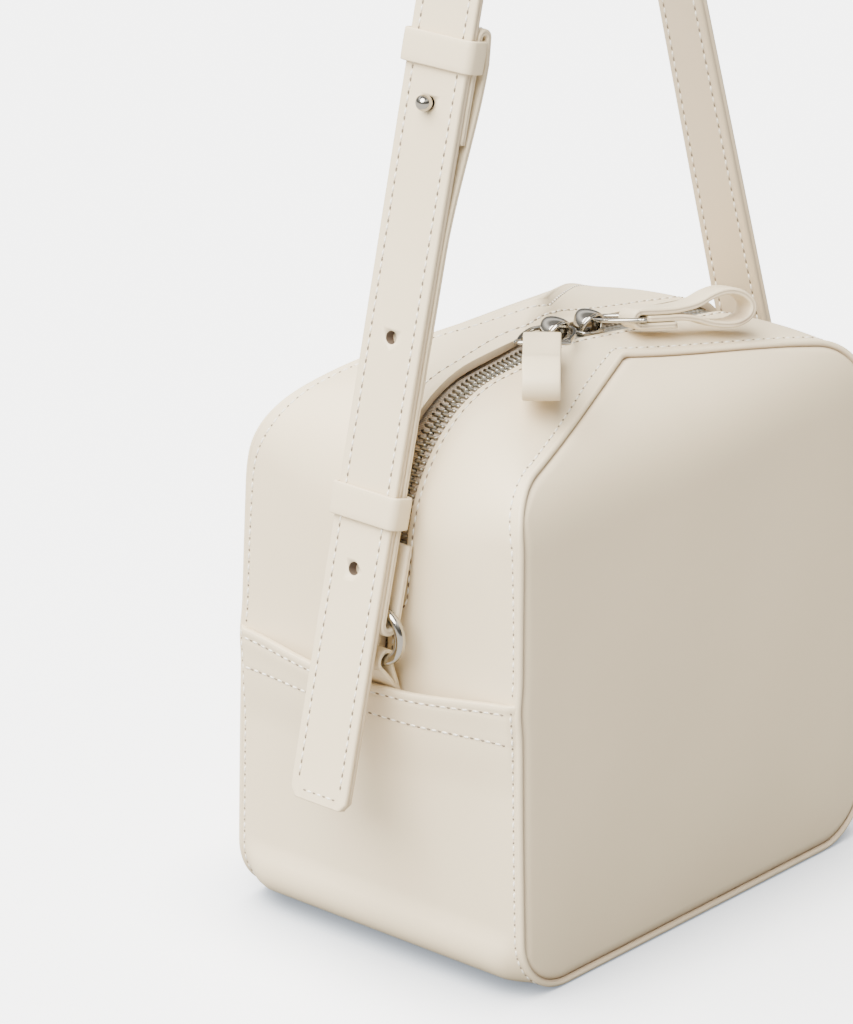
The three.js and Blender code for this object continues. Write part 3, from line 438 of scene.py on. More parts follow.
for which, side in sides.items():
    half = shoulder_half_width - panel_inset
    grid = []
    shade_and_edge_paint = []
    for u in np.linspace(-1, 1, panel_columns):
        x = half * math.sin(u * math.pi / 2)
        bottom, top = panel_edge(side, x, panel_inset)
        column = []
        for w in np.linspace(0, 1, panel_levels):
            share = (1 - math.cos(math.pi * w)) / 2
            t = bottom + (top - bottom) * share
            away = min(t - bottom, (top - t) * math.cos(side["pitch"]), half - abs(x))
            column.append(panel_point(side, x, t, panel_lift(side, x, t, share, half, away)))
            shade_and_edge_paint.append(seam_shade * (1 - smooth(*seam_shade_reach, away)))
        grid.append(column)
    grid = np.array(grid)
    shade_and_edge_paint = np.array(shade_and_edge_paint).reshape(panel_columns, panel_levels)
    outward = np.where(grid[..., 2:] > side["shoulder"], [0, side["sign"] * 20, 100], [0, side["sign"], 0.01])
    make_piece(f"panel_{which}", sheet(grid, leather / 2, -leather / 2, outward), cream_calf,
               [f"{which}_panel"], shade_and_edge_paint=np.concatenate([shade_and_edge_paint, shade_and_edge_paint[:, ::-1]], axis=1))


# The stitching: waxed cream thread in a lockstitch, and a dark bead of painted shade for the needle hole
# where each stitch goes down. A row is one line of points on the leather, and the nodes set one stitch
# or one dark bead on each point.
stitch_pitch = 4.3
thread_length = 2.6
thread_thickness = 0.78
hole_thickness = 0.74
long_hole = 1.7
thread_dark = (0.70, 0.64, 0.53)
thread_light = (0.88, 0.84, 0.75)
needle_hole_shade_dark = (0.12, 0.095, 0.065)
needle_hole_shade_light = (0.26, 0.21, 0.155)


def thread_finish():
    material, tree, shader = new_finish("waxed_thread", [("Roughness", 0.6)])
    place = add_node(tree, "ShaderNodeTexCoord")
    twist = add_node(tree, "ShaderNodeTexWave", [("Scale", 900)])
    tone = colour_ramp(tree, (0.0, thread_dark), (1.0, thread_light))
    bump = add_node(tree, "ShaderNodeBump", [("Strength", 0.4), ("Distance", 0.0001)])
    wire_up(tree,
            (place, "Object", twist, "Vector"), (twist, "Fac", tone, "Fac"), (twist, "Fac", bump, "Height"),
            (tone, "Color", shader, "Base Color"), (bump, "Normal", shader, "Normal"))
    return material


# The dark beads at the needle holes are painted shade.
def needle_hole_shade_finish():
    material, tree, shader = new_finish("needle_hole_shade", [("Roughness", 0.9)])
    place = add_node(tree, "ShaderNodeTexCoord")
    depth = add_node(tree, "ShaderNodeTexNoise", [("Scale", 400)])
    tone = colour_ramp(tree, (0.0, needle_hole_shade_dark), (1.0, needle_hole_shade_light))
    wire_up(tree,
            (place, "Object", depth, "Vector"), (depth, "Fac", tone, "Fac"),
            (tone, "Color", shader, "Base Color"))
    return material


def row_tree(name, sizes):
    """The start of a tree that sets one shape on every point of a row, with named sizes and a finish."""
    tree = bpy.data.node_groups.new(name, "GeometryNodeTree")
    face = tree.interface
    face.new_socket("Geometry", in_out="INPUT", socket_type="NodeSocketGeometry")
    for socket in sizes:
        face.new_socket(socket, in_out="INPUT", socket_type="NodeSocketFloat")
    face.new_socket("Finish", in_out="INPUT", socket_type="NodeSocketMaterial")
    face.new_socket("Geometry", in_out="OUTPUT", socket_type="NodeSocketGeometry")
    return tree, add_node(tree, "NodeGroupInput")


def set_on_row(tree, entry, made, output, size):
    """The end of a row's tree: the shape at its size on each point, turned along the row, made real."""
    shape = add_node(tree, "GeometryNodeTransform")
    direction = add_node(tree, "GeometryNodeInputNamedAttribute", [("Name", "direction")],
                         data_type="FLOAT_VECTOR")
    turn = add_node(tree, "FunctionNodeAlignRotationToVector", axis="X")
    spread = add_node(tree, "GeometryNodeInstanceOnPoints")
    real = add_node(tree, "GeometryNodeRealizeInstances")
    coloured = add_node(tree, "GeometryNodeSetMaterial")
    leave = add_node(tree, "NodeGroupOutput")
    wire_up(tree,
            (made, output, shape, "Geometry"), (size, "Vector", shape, "Scale"),
            (direction, "Attribute", turn, "Vector"), (entry, "Geometry", spread, "Points"),
            (shape, "Geometry", spread, "Instance"), (turn, "Rotation", spread, "Rotation"),
            (spread, "Instances", real, "Geometry"), (real, "Geometry", coloured, "Geometry"),
            (entry, "Finish", coloured, "Material"), (coloured, "Geometry", leave, "Geometry"))


def stitch_tree():
    """One long round stitch on every point of a row."""
    tree, entry = row_tree("stitch_row", ("Length", "Thickness"))
    bead = add_node(tree, "GeometryNodeMeshUVSphere", [("Segments", 6), ("Rings", 4), ("Radius", 0.5)])
    size = add_node(tree, "ShaderNodeCombineXYZ")
    wire_up(tree,
            (entry, "Length", size, "X"), (entry, "Thickness", size, "Y"), (entry, "Thickness", size, "Z"))
    set_on_row(tree, entry, bead, "Mesh", size)
    return tree


stitch_row_tree = stitch_tree()
waxed_thread = thread_finish()
needle_hole_shade = needle_hole_shade_finish()


def spaced(path, pitch, start):
    """Points along a path at an even pitch, with the path's direction at each."""
    path = np.asarray(path, float)
    length = np.concatenate([[0], np.cumsum(np.linalg.norm(np.diff(path, axis=0), axis=1))])
    stops = np.arange(start, length[-1] - start / 2, pitch)
    at = lambda s: np.stack([np.interp(s, length, path[:, k]) for k in range(3)], axis=1)
    return at(stops), unit(at(np.minimum(stops + 0.4, length[-1])) - at(np.maximum(stops - 0.4, 0)))


def row_piece(name, spots, ways, tree, values):
    """One plain mesh from a row's tree, set on spots that each have a direction."""
    mesh = bpy.data.meshes.new(name)
    mesh.from_pydata(((spots + base_from_origin) / 1000).tolist(), [], [])
    mesh.attributes.new("direction", "FLOAT_VECTOR", "POINT").data.foreach_set("vector", ways.ravel())
    piece = bpy.data.objects.new(name, mesh)
    bpy.context.scene.collection.objects.link(piece)
    modifier = piece.modifiers.new(name, "NODES")
    modifier.node_group = tree
    for item in tree.interface.items_tree:
        if item.in_out == "INPUT" and item.name in values:
            modifier[item.identifier] = values[item.name]
    finished_mesh(piece).shade_smooth()
    return piece


def beads(name, rows, start, length, thickness, finish):
    spots, ways = zip(*[spaced(path, stitch_pitch, start) for path in rows])
    values = {"Length": length / 1000, "Thickness": thickness / 1000, "Finish": finish}
    piece = row_piece(name, np.concatenate(spots), np.concatenate(ways), stitch_row_tree, values)
    piece.data.name = name
    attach(piece, "root")


def stitched(name, rows, hole_length=long_hole):
    """Thread along rows of points that lie on the leather, with dark beads of painted shade at the needle
    holes.
    """
    beads(f"thread_{name}", rows, stitch_pitch, thread_length, thread_thickness, waxed_thread)
    beads(f"needle_hole_shades_{name}", rows, stitch_pitch / 2, hole_length, hole_thickness, needle_hole_shade)


# The lower gusset: one long strip up one side, under the base and up the other side.
# Its top edge is turned over into a stitched belt that laps over the upper gusset.
belt_dip = 3.5
lap = 12.0
lap_ease = 3.0
belt_flare = 1.7
flare_end = 36.0
belt_bulge = 5.6
corner_fullness = 4.2
seam_reach = 0.7
margin_row = 1.9
belt_rows = (3.2, 14.6)
margin_hole = 0.9
stitch_dent = 0.22
margin_dent_width = 0.8
row_dent_width = 0.7
turned_edge_at = 1.2
turned_edge_height = 0.35
turned_edge_width = 1.1
flap_height = 0.2
gusset_edge_shares = [0, 0.008, 0.016, 0.024, 0.032, 0.04, 0.055, 0.08, 0.11, 0.15]
middle_height = 100.0


def fillet(before, corner, after, radius, count):
    """The round that replaces a corner, from the side of the point before it."""
    before, corner, after = (np.asarray(p, float) for p in (before, corner, after))
    a, b = unit(before - corner), unit(after - corner)
    half = math.acos(a @ b) / 2
    centre = corner + unit(a + b) * radius / math.sin(half)
    start = corner + a * radius / math.tan(half) - centre
    end = corner + b * radius / math.tan(half) - centre
    sweep = math.acos(np.clip(start @ end / radius ** 2, -1, 1))
    turns = np.linspace(0, 1, count + 1)[:, None]
    return centre + (start * np.sin((1 - turns) * sweep) + end * np.sin(turns * sweep)) / math.sin(sweep)


def line(a, b, count):
    return np.asarray(a) + (np.asarray(b) - np.asarray(a)) * np.linspace(0, 1, count + 1)[1:, None]


def lower_run(side):
    """Right belt, down, under the base and up to the left belt, on the panel's sheet."""
    half = shoulder_half_width
    belt = side["belt"] - piping_radius
    corner = fillet((-half, side["fold"]), (-half, 0), (0, 0), base_corner, 16)
    run = np.concatenate([
        [[0, 0]], line((0, 0), corner[-1], 10), corner[:-1][::-1],
        line(corner[0], (-half, belt - flare_end), 14), line((-half, belt - flare_end), (-half, belt), 34),
    ])
    return np.concatenate([run[1:][::-1] * [-1, 1], run])


lower_front, lower_back = lower_run(sides["front"]), lower_run(sides["back"])


def gusset_point(i, v):
    """A point of the lower gusset's middle surface, i along its run and v from front seam to back."""
    x, t = lower_front[i]
    front = panel_point(sides["front"], x, t)
    back = panel_point(sides["back"], *lower_back[i])
    drop = sides["front"]["belt"] - piping_radius - t
    across = back - front
    from_seam = min(v, 1 - v)
    edge = seam_reach / np.linalg.norm(across)
    flare = belt_flare * (1 - smooth(lap + lap_ease, flare_end, drop))
    bulge = belt_bulge * (1 - smooth(0, sides["front"]["belt"] - base_corner, drop))
    dip = belt_dip * (1 - smooth(0, lap + lap_ease, drop))
    sideways = np.sign(x) * smooth(0, base_corner, t)
    round_share = min(max((base_corner - t) / base_corner, 0), 1)
    in_corner = abs(x) > shoulder_half_width - base_corner
    turned = math.sin(math.pi * round_share ** 0.8) if in_corner else 0
    fill = corner_fullness * turned / math.sqrt(2) * smooth(0, 0.08, from_seam)
    outward = sideways * (flare * smooth(0, 0.015, from_seam) + bulge * smooth(0, 0.38, from_seam))
    sink = dip * math.sin(math.pi * v) + fill * smooth(0, corner_fullness, t)
    shift = [np.sign(x) * fill + outward, 0, -sink]
    return front + across * (edge + (1 - 2 * edge) * v) + shift


gusset_shares = np.concatenate([gusset_edge_shares, np.linspace(0.2, 0.8, 25),
                                1 - np.array(gusset_edge_shares[::-1])])
lower_grid = np.array([[gusset_point(i, v) for v in gusset_shares] for i in range(len(lower_front))])
lower_drop = (sides["front"]["belt"] - piping_radius - lower_front[:, 1])[:, None]
from_middle = lambda grid: grid - np.array([0, 0, middle_height])
lower_width = np.linalg.norm(lower_grid[:, -1] - lower_grid[:, 0], axis=-1)[:, None]
lower_away = np.minimum(gusset_shares, 1 - gusset_shares)[None] * lower_width + seam_reach
dent = swelling(lower_away - margin_row, stitch_dent, margin_dent_width)
for row in belt_rows:
    dent = dent + swelling(lower_drop - row, stitch_dent, row_dent_width)
turned_edge = swelling(lower_drop - turned_edge_at, turned_edge_height, turned_edge_width)
flap = flap_height * (1 - smooth(belt_rows[1] - 0.3, belt_rows[1] + 1.6, lower_drop))
lower_outer = piping_radius - 0.12 - dent + turned_edge + flap
lower_inner = piping_radius - leather - 0.2
make_piece("gusset_lower", sheet(lower_grid, lower_outer, lower_inner, from_middle(lower_grid)),
           cream_calf, ["base_gusset"], edge=0.5)

lower_normals = sheet_normals(lower_grid, from_middle(lower_grid))
lower_skin = lower_grid + lower_normals * lower_outer[..., None]


def across_row(skin, away, distance):
    """The line on a gusset's skin that keeps a distance from its first seam."""
    line_points = []
    for points, reach, wanted in zip(skin, away, np.broadcast_to(distance, len(skin))):
        half = len(points) // 2
        line_points.append([np.interp(wanted, reach[:half], points[:half, k]) for k in range(3)])
    return np.array(line_points)


def belt_row(drops, skin, drop):
    """The line on the belt that keeps a distance below its turned edge, between the two margins."""
    between = [k for k in range(len(gusset_shares)) if margin_row + 0.5 < lower_away[0, k]]
    return np.array([[np.interp(drop, drops, skin[:, k, c]) for c in range(3)] for k in between])


margin_front = across_row(lower_skin, lower_away, margin_row)
margin_back = across_row(lower_skin[:, ::-1], lower_away[:, ::-1], margin_row)
stitched("lower_margins", [margin_front, margin_back], hole_length=margin_hole)
belt_steps = 40
belt_ends = ((lower_drop[:belt_steps, 0], lower_skin[:belt_steps]),
             (lower_drop[::-1][:belt_steps, 0], lower_skin[::-1][:belt_steps]))
stitched("belt", [belt_row(*end, row) for row in belt_rows for end in belt_ends])


# The upper gusset: a front and a back half, each from its panel's piping to the zip.
# The back half's edge is a turned placket that stands over the zip, tan on its cut side.
zip_y = -8.2
zip_foot_y = -4.0
zip_belt_half = base_half_width - 0.4
zip_left = (2.7 - shoulder_half_width, 196.0)
zip_right = (shoulder_half_width - 3.8, 189.0)
zip_apex = (-12.0, 202.6)
zip_left_radius = 48.0
zip_right_radius = 25.0
zip_crest = 90.0
slot_width = 11.6
closed_slot = 1.4
side_steps = 22
lap_steps = 6
placket_rise = 1.4
gusset_swell = 1.6
zip_foot = (sides["front"]["belt"] + sides["back"]["belt"]) / 2 - belt_dip
roof_margin = 2.2
roof_margin_heights = (120.0, 185.0)
roof_hole = 1.0
zip_row_dent = 0.18
seam_roll = 0.3
seam_roll_width = 2.5
lip_width = 2.4
cut_side = 0.2
zip_edges = {
    "front": dict(row=2.2, rise=0.0, lip=0.2, tan=0.15),
    "back": dict(row=7.5, rise=placket_rise, lip=1.1, tan=0.8),
}


def upper_half_run(other, apex, shoulder, base, radius, tip, belt):
    """From the apex over a shoulder and down one side to the belt, and on under its lap."""
    tip_arc = fillet(other, apex, shoulder, tip, 12)[6:]
    corner = fillet(apex, shoulder, base, radius, 18)
    height = shoulder[1] - base[1]
    side_line = lambda z: np.asarray(shoulder) + (np.asarray(base) - shoulder) * (shoulder[1] - z) / height
    return np.concatenate([
        tip_arc, line(tip_arc[-1], corner[0], 22)[:-1], corner, line(corner[-1], side_line(belt), side_steps),
        line(side_line(belt), side_line(belt - lap), lap_steps),
    ])


def upper_seam(side):
    """The panel's upper seam on its sheet, from the right belt over the peak to the left belt."""
    half = shoulder_half_width
    peak = (0.0, side["fold"] + side["facet"])
    run = upper_half_run((half, side["fold"]), peak, (-half, side["fold"]), (-half, 0.0), side["radius"],
                         tip_radius, side["belt"] - piping_radius)
    return np.concatenate([run[1:][::-1] * [-1, 1], run])


zip_halves = [upper_half_run(far, zip_apex, near, (foot, zip_foot), radius, zip_crest, zip_foot)
              for far, near, foot, radius in ((zip_left, zip_right, zip_belt_half, zip_right_radius),
                                              (zip_right, zip_left, -zip_belt_half, zip_left_radius))]
zip_run = np.concatenate([zip_halves[0][1:][::-1], zip_halves[1]])
zip_depth = zip_foot_y + (zip_y - zip_foot_y) * smooth(zip_foot, sides["front"]["shoulder"], zip_run[:, 1])
zip_centre = np.stack([zip_run[:, 0], zip_depth, zip_run[:, 1]], axis=1)
zip_step = np.minimum(np.arange(len(zip_run)), np.arange(len(zip_run))[::-1])
zip_end = lap_steps + round(side_steps * 0.6)
slot_open = smooth(lap_steps + side_steps * 0.4, zip_end, zip_step)
slot_half = (closed_slot + (slot_width - closed_slot) * slot_open) / 2
zip_along = unit(np.gradient(zip_centre, axis=0))
zip_normal = np.stack([-zip_along[:, 2], 0 * zip_along[:, 0], zip_along[:, 0]], axis=1)
zip_normal *= np.sign(np.sum(zip_normal * (zip_centre - [0, zip_y, 90]), axis=1))[:, None]

upper_shares = np.concatenate([[0, 0.012, 0.025, 0.04, 0.055, 0.075, 0.1, 0.14], np.linspace(0.2, 0.8, 21),
                               [0.85, 0.89, 0.92, 0.94, 0.955, 0.97, 0.98, 0.99, 1]])
for which, side in sides.items():
    entry = zip_edges[which]
    seam = np.array([panel_point(side, x, t) for x, t in upper_seam(side)])
    edge = zip_centre + slot_half[:, None] * [0, side["sign"], 0] + zip_normal * entry["rise"]
    across = edge - seam
    width = np.linalg.norm(across, axis=1)[:, None]
    start = seam + across * seam_reach / width
    free = smooth(zip_foot + 10, zip_foot + 50, zip_centre[:, 2:]) * np.minimum(width / 60, 1)
    swell = gusset_swell * free * np.sin(np.pi * upper_shares)[None]
    grid = start[:, None] + (edge - start)[:, None] * upper_shares[None, :, None]
    grid = grid + zip_normal[:, None] * swell[..., None]
    away = upper_shares[None] * width + seam_reach
    from_zip = (1 - upper_shares)[None] * width
    margin_reach = margin_row + roof_margin * smooth(*roof_margin_heights, zip_centre[:, 2:])
    dent = swelling(away - margin_reach, stitch_dent, margin_dent_width)
    dent = dent + swelling(from_zip - entry["row"], zip_row_dent, row_dent_width)
    lip = swelling(from_zip, entry["lip"], lip_width)
    outer = leather / 2 - 0.05 + swelling(away, seam_roll, seam_roll_width) - dent + lip
    shade_and_edge_paint = entry["tan"] * (from_zip < cut_side)
    shade_and_edge_paint = np.concatenate([0 * shade_and_edge_paint, shade_and_edge_paint[:, ::-1]], axis=1)
    make_piece(f"gusset_upper_{which}", sheet(grid, outer, -leather / 2 - 0.05, from_middle(grid)),
               cream_calf, [f"zip_gusset_{which}"], edge=0.7, shade_and_edge_paint=shade_and_edge_paint)
    skin = grid + sheet_normals(grid, from_middle(grid)) * outer[..., None]
    margin = across_row(skin, away, margin_reach[:, 0])
    beside_zip = across_row(skin[:, ::-1], from_zip[:, ::-1], entry["row"])
    stitched(f"upper_margin_{which}", [margin[6:-6]], hole_length=roof_hole)
    stitched(f"beside_zip_{which}", [beside_zip[6:-6]])


# The piping: a thin cord sewn into the seam all round each panel, covered in the same calf.
# Towards the panel it stands in shade, with the stitch line pulled in beside it.
piping_sides = 16
piping_shade = 0.85


def tube(points, radius, loop=False, sides_round=12, up=(0, 0, 1)):
    """A round wire or cord along a run of points."""
    points = np.asarray(points, float)
    if loop:
        along = unit(np.roll(points, -1, axis=0) - np.roll(points, 1, axis=0))
    else:
        along = unit(np.gradient(points, axis=0))
    up = np.broadcast_to(np.asarray(up, float), points.shape)
    side = unit(np.cross(up, along))
    top = unit(np.cross(along, side))
    angle = (np.arange(sides_round) + 0.5) / sides_round * 2 * math.pi
    ring = side[:, None] * np.cos(angle)[None, :, None] + top[:, None] * np.sin(angle)[None, :, None]
    return loft(points[:, None] + ring * radius, loop)


for which, side in sides.items():
    upper = upper_seam(side)
    lower = lower_run(side)[::-1]
    lower = lower[lower[:, 1] < upper[0, 1] - 1]
    seam = np.array([panel_point(side, x, t) for x, t in np.concatenate([upper, lower])])
    cord = tube(seam, piping_radius, loop=True, sides_round=piping_sides, up=from_middle(seam))
    inward = unit(np.array([0, seam[:, 1].mean(), seam[:, 2].mean()]) - seam)
    spokes = unit(cord[0].reshape(-1, piping_sides, 3) - seam[:, None])
    facing = np.sum(spokes * inward[:, None], axis=-1)
    make_piece(f"piping_cord_{which}", cord, cream_calf, [f"piping_{which}"],
               shade_and_edge_paint=piping_shade * smooth(0.0, 0.75, facing))


# The zip: two woven cream tapes, each with a row of nickel teeth clamped on its edge.
# The rows mesh in the middle, and the tapes run under the leather on both sides.
chain_width = 7.6
chain_top = -0.1
tape_top = -1.25
tape_thickness = 0.8
tape_under_teeth = 2.8
tape_under_leather = 4.0
tape_dark = (0.42, 0.34, 0.25)
tape_light = (0.60, 0.52, 0.42)
tooth_pitch = 2.3
tooth_length = 4.5
tooth_thickness = 1.25
tooth_height = 2.3
nose_scale = (1.25, 0.42, 0.8)
nose_reach = 0.36
polished_tone = (0.45, 0.425, 0.375)
tooth_tone = (0.44, 0.415, 0.355)
nickel_shade = 0.88


def tape_finish():
    material, tree, shader = new_finish("zip_tape_weave", [("Roughness", 0.85)])
    place = add_node(tree, "ShaderNodeTexCoord")
    twill = add_node(tree, "ShaderNodeTexWave", [("Scale", 420), ("Distortion", 0.6)],
                     bands_direction="DIAGONAL")
    tone = colour_ramp(tree, (0.0, tape_dark), (1.0, tape_light))
    bump = add_node(tree, "ShaderNodeBump", [("Strength", 0.5), ("Distance", 0.0002)])
    wire_up(tree,
            (place, "Object", twill, "Vector"), (twill, "Fac", tone, "Fac"), (twill, "Fac", bump, "Height"),
            (tone, "Color", shader, "Base Color"), (bump, "Normal", shader, "Normal"))
    return material


def nickel_finish(name, colour, roughness, scratches):
    """Plated nickel with a faint cloudiness in its polish, and fine scratches."""
    material, tree, shader = new_finish(name, [("Metallic", 1.0)])
    place = add_node(tree, "ShaderNodeTexCoord")
    cloud = add_node(tree, "ShaderNodeTexNoise", [("Scale", 260), ("Detail", 4)])
    polish = add_node(tree, "ShaderNodeMapRange", [("To Min", roughness), ("To Max", roughness + 0.1)])
    tone = colour_ramp(tree, (0.0, [c * nickel_shade for c in colour]), (1.0, colour))
    bump = add_node(tree, "ShaderNodeBump", [("Strength", scratches), ("Distance", 0.0001)])
    wire_up(tree,
            (place, "Object", cloud, "Vector"), (cloud, "Fac", polish, "Value"), (cloud, "Fac", tone, "Fac"),
            (cloud, "Fac", bump, "Height"), (tone, "Color", shader, "Base Color"),
            (polish, 0, shader, "Roughness"), (bump, "Normal", shader, "Normal"))
    return material


zip_tape_weave = tape_finish()
polished_nickel = nickel_finish("polished_nickel", polished_tone, 0.07, 0.04)
tooth_nickel = nickel_finish("tooth_nickel", tooth_tone, 0.25, 0.12)

for which, side in sides.items():
    sign = side["sign"]
    seam = np.array([panel_point(side, x, t) for x, t in upper_seam(side)])
    near = zip_centre + [0, sign * (chain_width / 2 - tape_under_teeth), 0] + zip_normal * tape_top
    edge = zip_centre + [0, sign * slot_width / 2, 0]
    far_level = tape_top - 0.2 - 0.3 * zip_edges[which]["rise"]
    far = edge + unit(seam - edge) * tape_under_leather + zip_normal * far_level
    over = np.stack([near, edge + zip_normal * tape_top, far], axis=1)
    under = (over - zip_normal[:, None] * tape_thickness)[:, ::-1]
    rings = np.concatenate([over, under], axis=1)
    make_piece(f"zip_tape_woven_{which}", loft(rings[2:-2]), zip_tape_weave, [f"zip_tape_{which}"], edge=0.15)


def tooth_tree():
    """One clamped tooth on every point: a rounded bar across the tape with a nose that meshes."""
    tree, entry = row_tree("zip_tooth_row", ("Length", "Thickness", "Height", "Nose"))
    bar = add_node(tree, "GeometryNodeMeshCylinder",
                   [("Vertices", 8), ("Side Segments", 3), ("Radius", 0.5), ("Depth", 1.0)])
    bar_turn = add_node(tree, "GeometryNodeTransform", [("Rotation", (math.pi / 2, 0, 0))])
    nose = add_node(tree, "GeometryNodeMeshUVSphere", [("Segments", 8), ("Rings", 6), ("Radius", 0.5)])
    nose_at = add_node(tree, "ShaderNodeCombineXYZ")
    nose_place = add_node(tree, "GeometryNodeTransform", [("Scale", nose_scale)])
    tooth = add_node(tree, "GeometryNodeJoinGeometry")
    size = add_node(tree, "ShaderNodeCombineXYZ")
    wire_up(tree,
            (bar, "Mesh", bar_turn, "Geometry"), (nose, "Mesh", nose_place, "Geometry"),
            (entry, "Nose", nose_at, "Y"), (nose_at, "Vector", nose_place, "Translation"),
            (bar_turn, "Geometry", tooth, "Geometry"), (nose_place, "Geometry", tooth, "Geometry"),
            (entry, "Thickness", size, "X"), (entry, "Length", size, "Y"), (entry, "Height", size, "Z"))
    set_on_row(tree, entry, tooth, "Geometry", size)
    return tree


zip_tooth_tree = tooth_tree()
for row, sign in (("front", -1), ("back", 1)):
    middle = (zip_centre + zip_normal * (chain_top - tooth_height / 2))[zip_end:-zip_end]
    path = middle + [0, sign * (chain_width / 2 - tooth_length / 2), 0]
    spots, ways = spaced(path, tooth_pitch, tooth_pitch * (1 if sign > 0 else 1.5))
    values = {"Length": tooth_length / 1000, "Thickness": tooth_thickness / 1000,
              "Height": tooth_height / 1000, "Nose": -sign * nose_reach, "Finish": tooth_nickel}
    teeth = row_piece(f"zip_teeth_{row}", spots, ways, zip_tooth_tree, values)
    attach(teeth, "root")
    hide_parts("zip_teeth")


# The sliders: cast and polished nickel, each a rounded body over the teeth with a domed bridge.
# A wire bail passes under the bridge and carries the pull on its straight bar.
slider_length = 12.6
slider_width = 9.6
slider_cap = 1.5
slider_lift = 0.3
body_levels = ((0, 0.93), (0.25, 1.0), (slider_cap - 0.45, 1.0), (slider_cap - 0.12, 0.95),
               (slider_cap, 0.86))
body_sides = 28
body_squareness = 0.7
bridge_height = 7.8
bridge_width = 8.6
bridge_inset = 1.2
bridge_foot = 0.5
bridge_wall = 1.5
bridge_half_thickness = 1.1
bridge_steps = 25
bridge_sides = 18
bail_wire = 0.85
bail_half = 8.6
bail_shape = [(bail_half - 1, 0), (bail_half, 0.12), (bail_half, 0.48), (bail_half * 0.8, 0.84), (2.2, 1)]
pull_thickness = 2.2
pull_gap = 0.3
pulls = {
    "left": dict(slider=-11.0, root=(-28.3, -17.5, 208.0), heading=-140, droop=5, roll=0),
    "right": dict(slider=6.5, root=(16.7, -20.8, 205.6), heading=-27, droop=5, roll=13),
}


def catmull(points, steps, loop=False):
    """A smooth run through points, with a number of steps from each to the next."""
    points = np.asarray(points, float)
    count = len(points)
    pick = (lambda i: points[i % count]) if loop else (lambda i: points[min(max(i, 0), count - 1)])
    made = []
    for i in range(count if loop else count - 1):
        a, b, c, d = pick(i - 1), pick(i), pick(i + 1), pick(i + 2)
        for k in range(steps):
            t = k / steps
            made.append(0.5 * (2 * b + (c - a) * t + (2 * a - 5 * b + 4 * c - d) * t * t
                               + (3 * b - a - 3 * c + d) * t ** 3))
    if not loop:
        made.append(points[-1])
    return np.array(made)


def zip_at(x):
    """The zip's height and its slope at a place across the bag."""
    order = np.argsort(zip_run[:, 0])
    z = np.interp(x, zip_run[order, 0], zip_run[order, 1])
    ahead = np.interp(x + 1, zip_run[order, 0], zip_run[order, 1])
    return z, math.atan(ahead - z)


def seated(points, x):
    """Points made about a slider's own middle, put down on the zip at a place across the bag."""
    z, slope = zip_at(x)
    points = np.asarray(points, float)
    c, s = math.cos(slope), math.sin(slope)
    turned = np.stack([points[..., 0] * c - points[..., 2] * s, points[..., 1],
                       points[..., 0] * s + points[..., 2] * c], axis=-1)
    return turned + [x, zip_y, z + chain_top + slider_lift]


def slider_body():
    """A pillow on a squared oval, its rim rounded over in a few levels."""
    turns = np.linspace(0, 2 * math.pi, body_sides, endpoint=False)
    square = lambda a: np.sign(a) * np.abs(a) ** body_squareness
    return [np.stack([square(np.cos(turns)) * slider_length / 2 * grow,
                      square(np.sin(turns)) * slider_width / 2 * grow, np.full(body_sides, level)], axis=1)
            for level, grow in body_levels]


def slider_bridge():
    """An arch over the body, as wide as a dome at its top and narrow at its feet."""
    turn = np.linspace(0, math.pi, bridge_steps)
    height = bridge_foot + np.sin(turn) ** 0.8 * (bridge_height - 1.3)
    middle = np.stack([-np.cos(turn) * (slider_length / 2 - bridge_inset), 0 * turn, height], axis=1)
    way = unit(np.gradient(middle, axis=0))
    out = np.stack([-way[:, 2], 0 * turn, way[:, 0]], axis=1)
    around = np.linspace(0, 2 * math.pi, bridge_sides, endpoint=False)
    half_wide = bridge_width / 2 * (0.5 + 0.5 * np.sin(turn) ** 1.3)
    half_thick = bridge_half_thickness * (0.75 + 0.25 * np.sin(turn))
    sideways = np.array([0, 1, 0]) * (np.cos(around)[None, :, None] * half_wide[:, None, None])
    upward = out[:, None] * (np.sin(around)[None, :, None] * half_thick[:, None, None])
    return middle[:, None] + sideways + upward


def pull_frame(entry):
    """A pull's root, and its directions along, across and up."""
    plan, fall = math.radians(entry["heading"]), math.radians(entry["droop"])
    along = np.array([math.cos(plan) * math.cos(fall), math.sin(plan) * math.cos(fall), -math.sin(fall)])
    level = np.array([-math.sin(plan), math.cos(plan), 0])
    roll = math.radians(entry["roll"])
    across = level * math.cos(roll) - np.cross(along, level) * math.sin(roll)
    return np.array(entry["root"]), along, across, np.cross(along, across)


for name, entry in pulls.items():
    slider = entry["slider"]
    make_piece(f"slider_body_{name}", loft([seated(ring, slider) for ring in slider_body()]), polished_nickel,
               [f"slider_{name}"])
    make_piece(f"slider_bridge_{name}", loft(seated(slider_bridge(), slider)), polished_nickel,
               [f"slider_{name}"])
    root, along, across, up = pull_frame(entry)
    z, slope = zip_at(slider)
    eye_height = z + chain_top - 0.4 + bridge_height - bridge_wall - bail_wire
    target = np.array([slider, zip_y, eye_height]) - root
    wire = [root + across * out_by + target * in_by for out_by, in_by in bail_shape]
    wire += [root - across * out_by + target * in_by for out_by, in_by in bail_shape[::-1]]
    wire = catmull(wire, 6, loop=True)
    make_piece(f"bail_wire_{name}", tube(wire, bail_wire, loop=True, up=np.cross(across, target)),
               polished_nickel, [f"bail_{name}"])


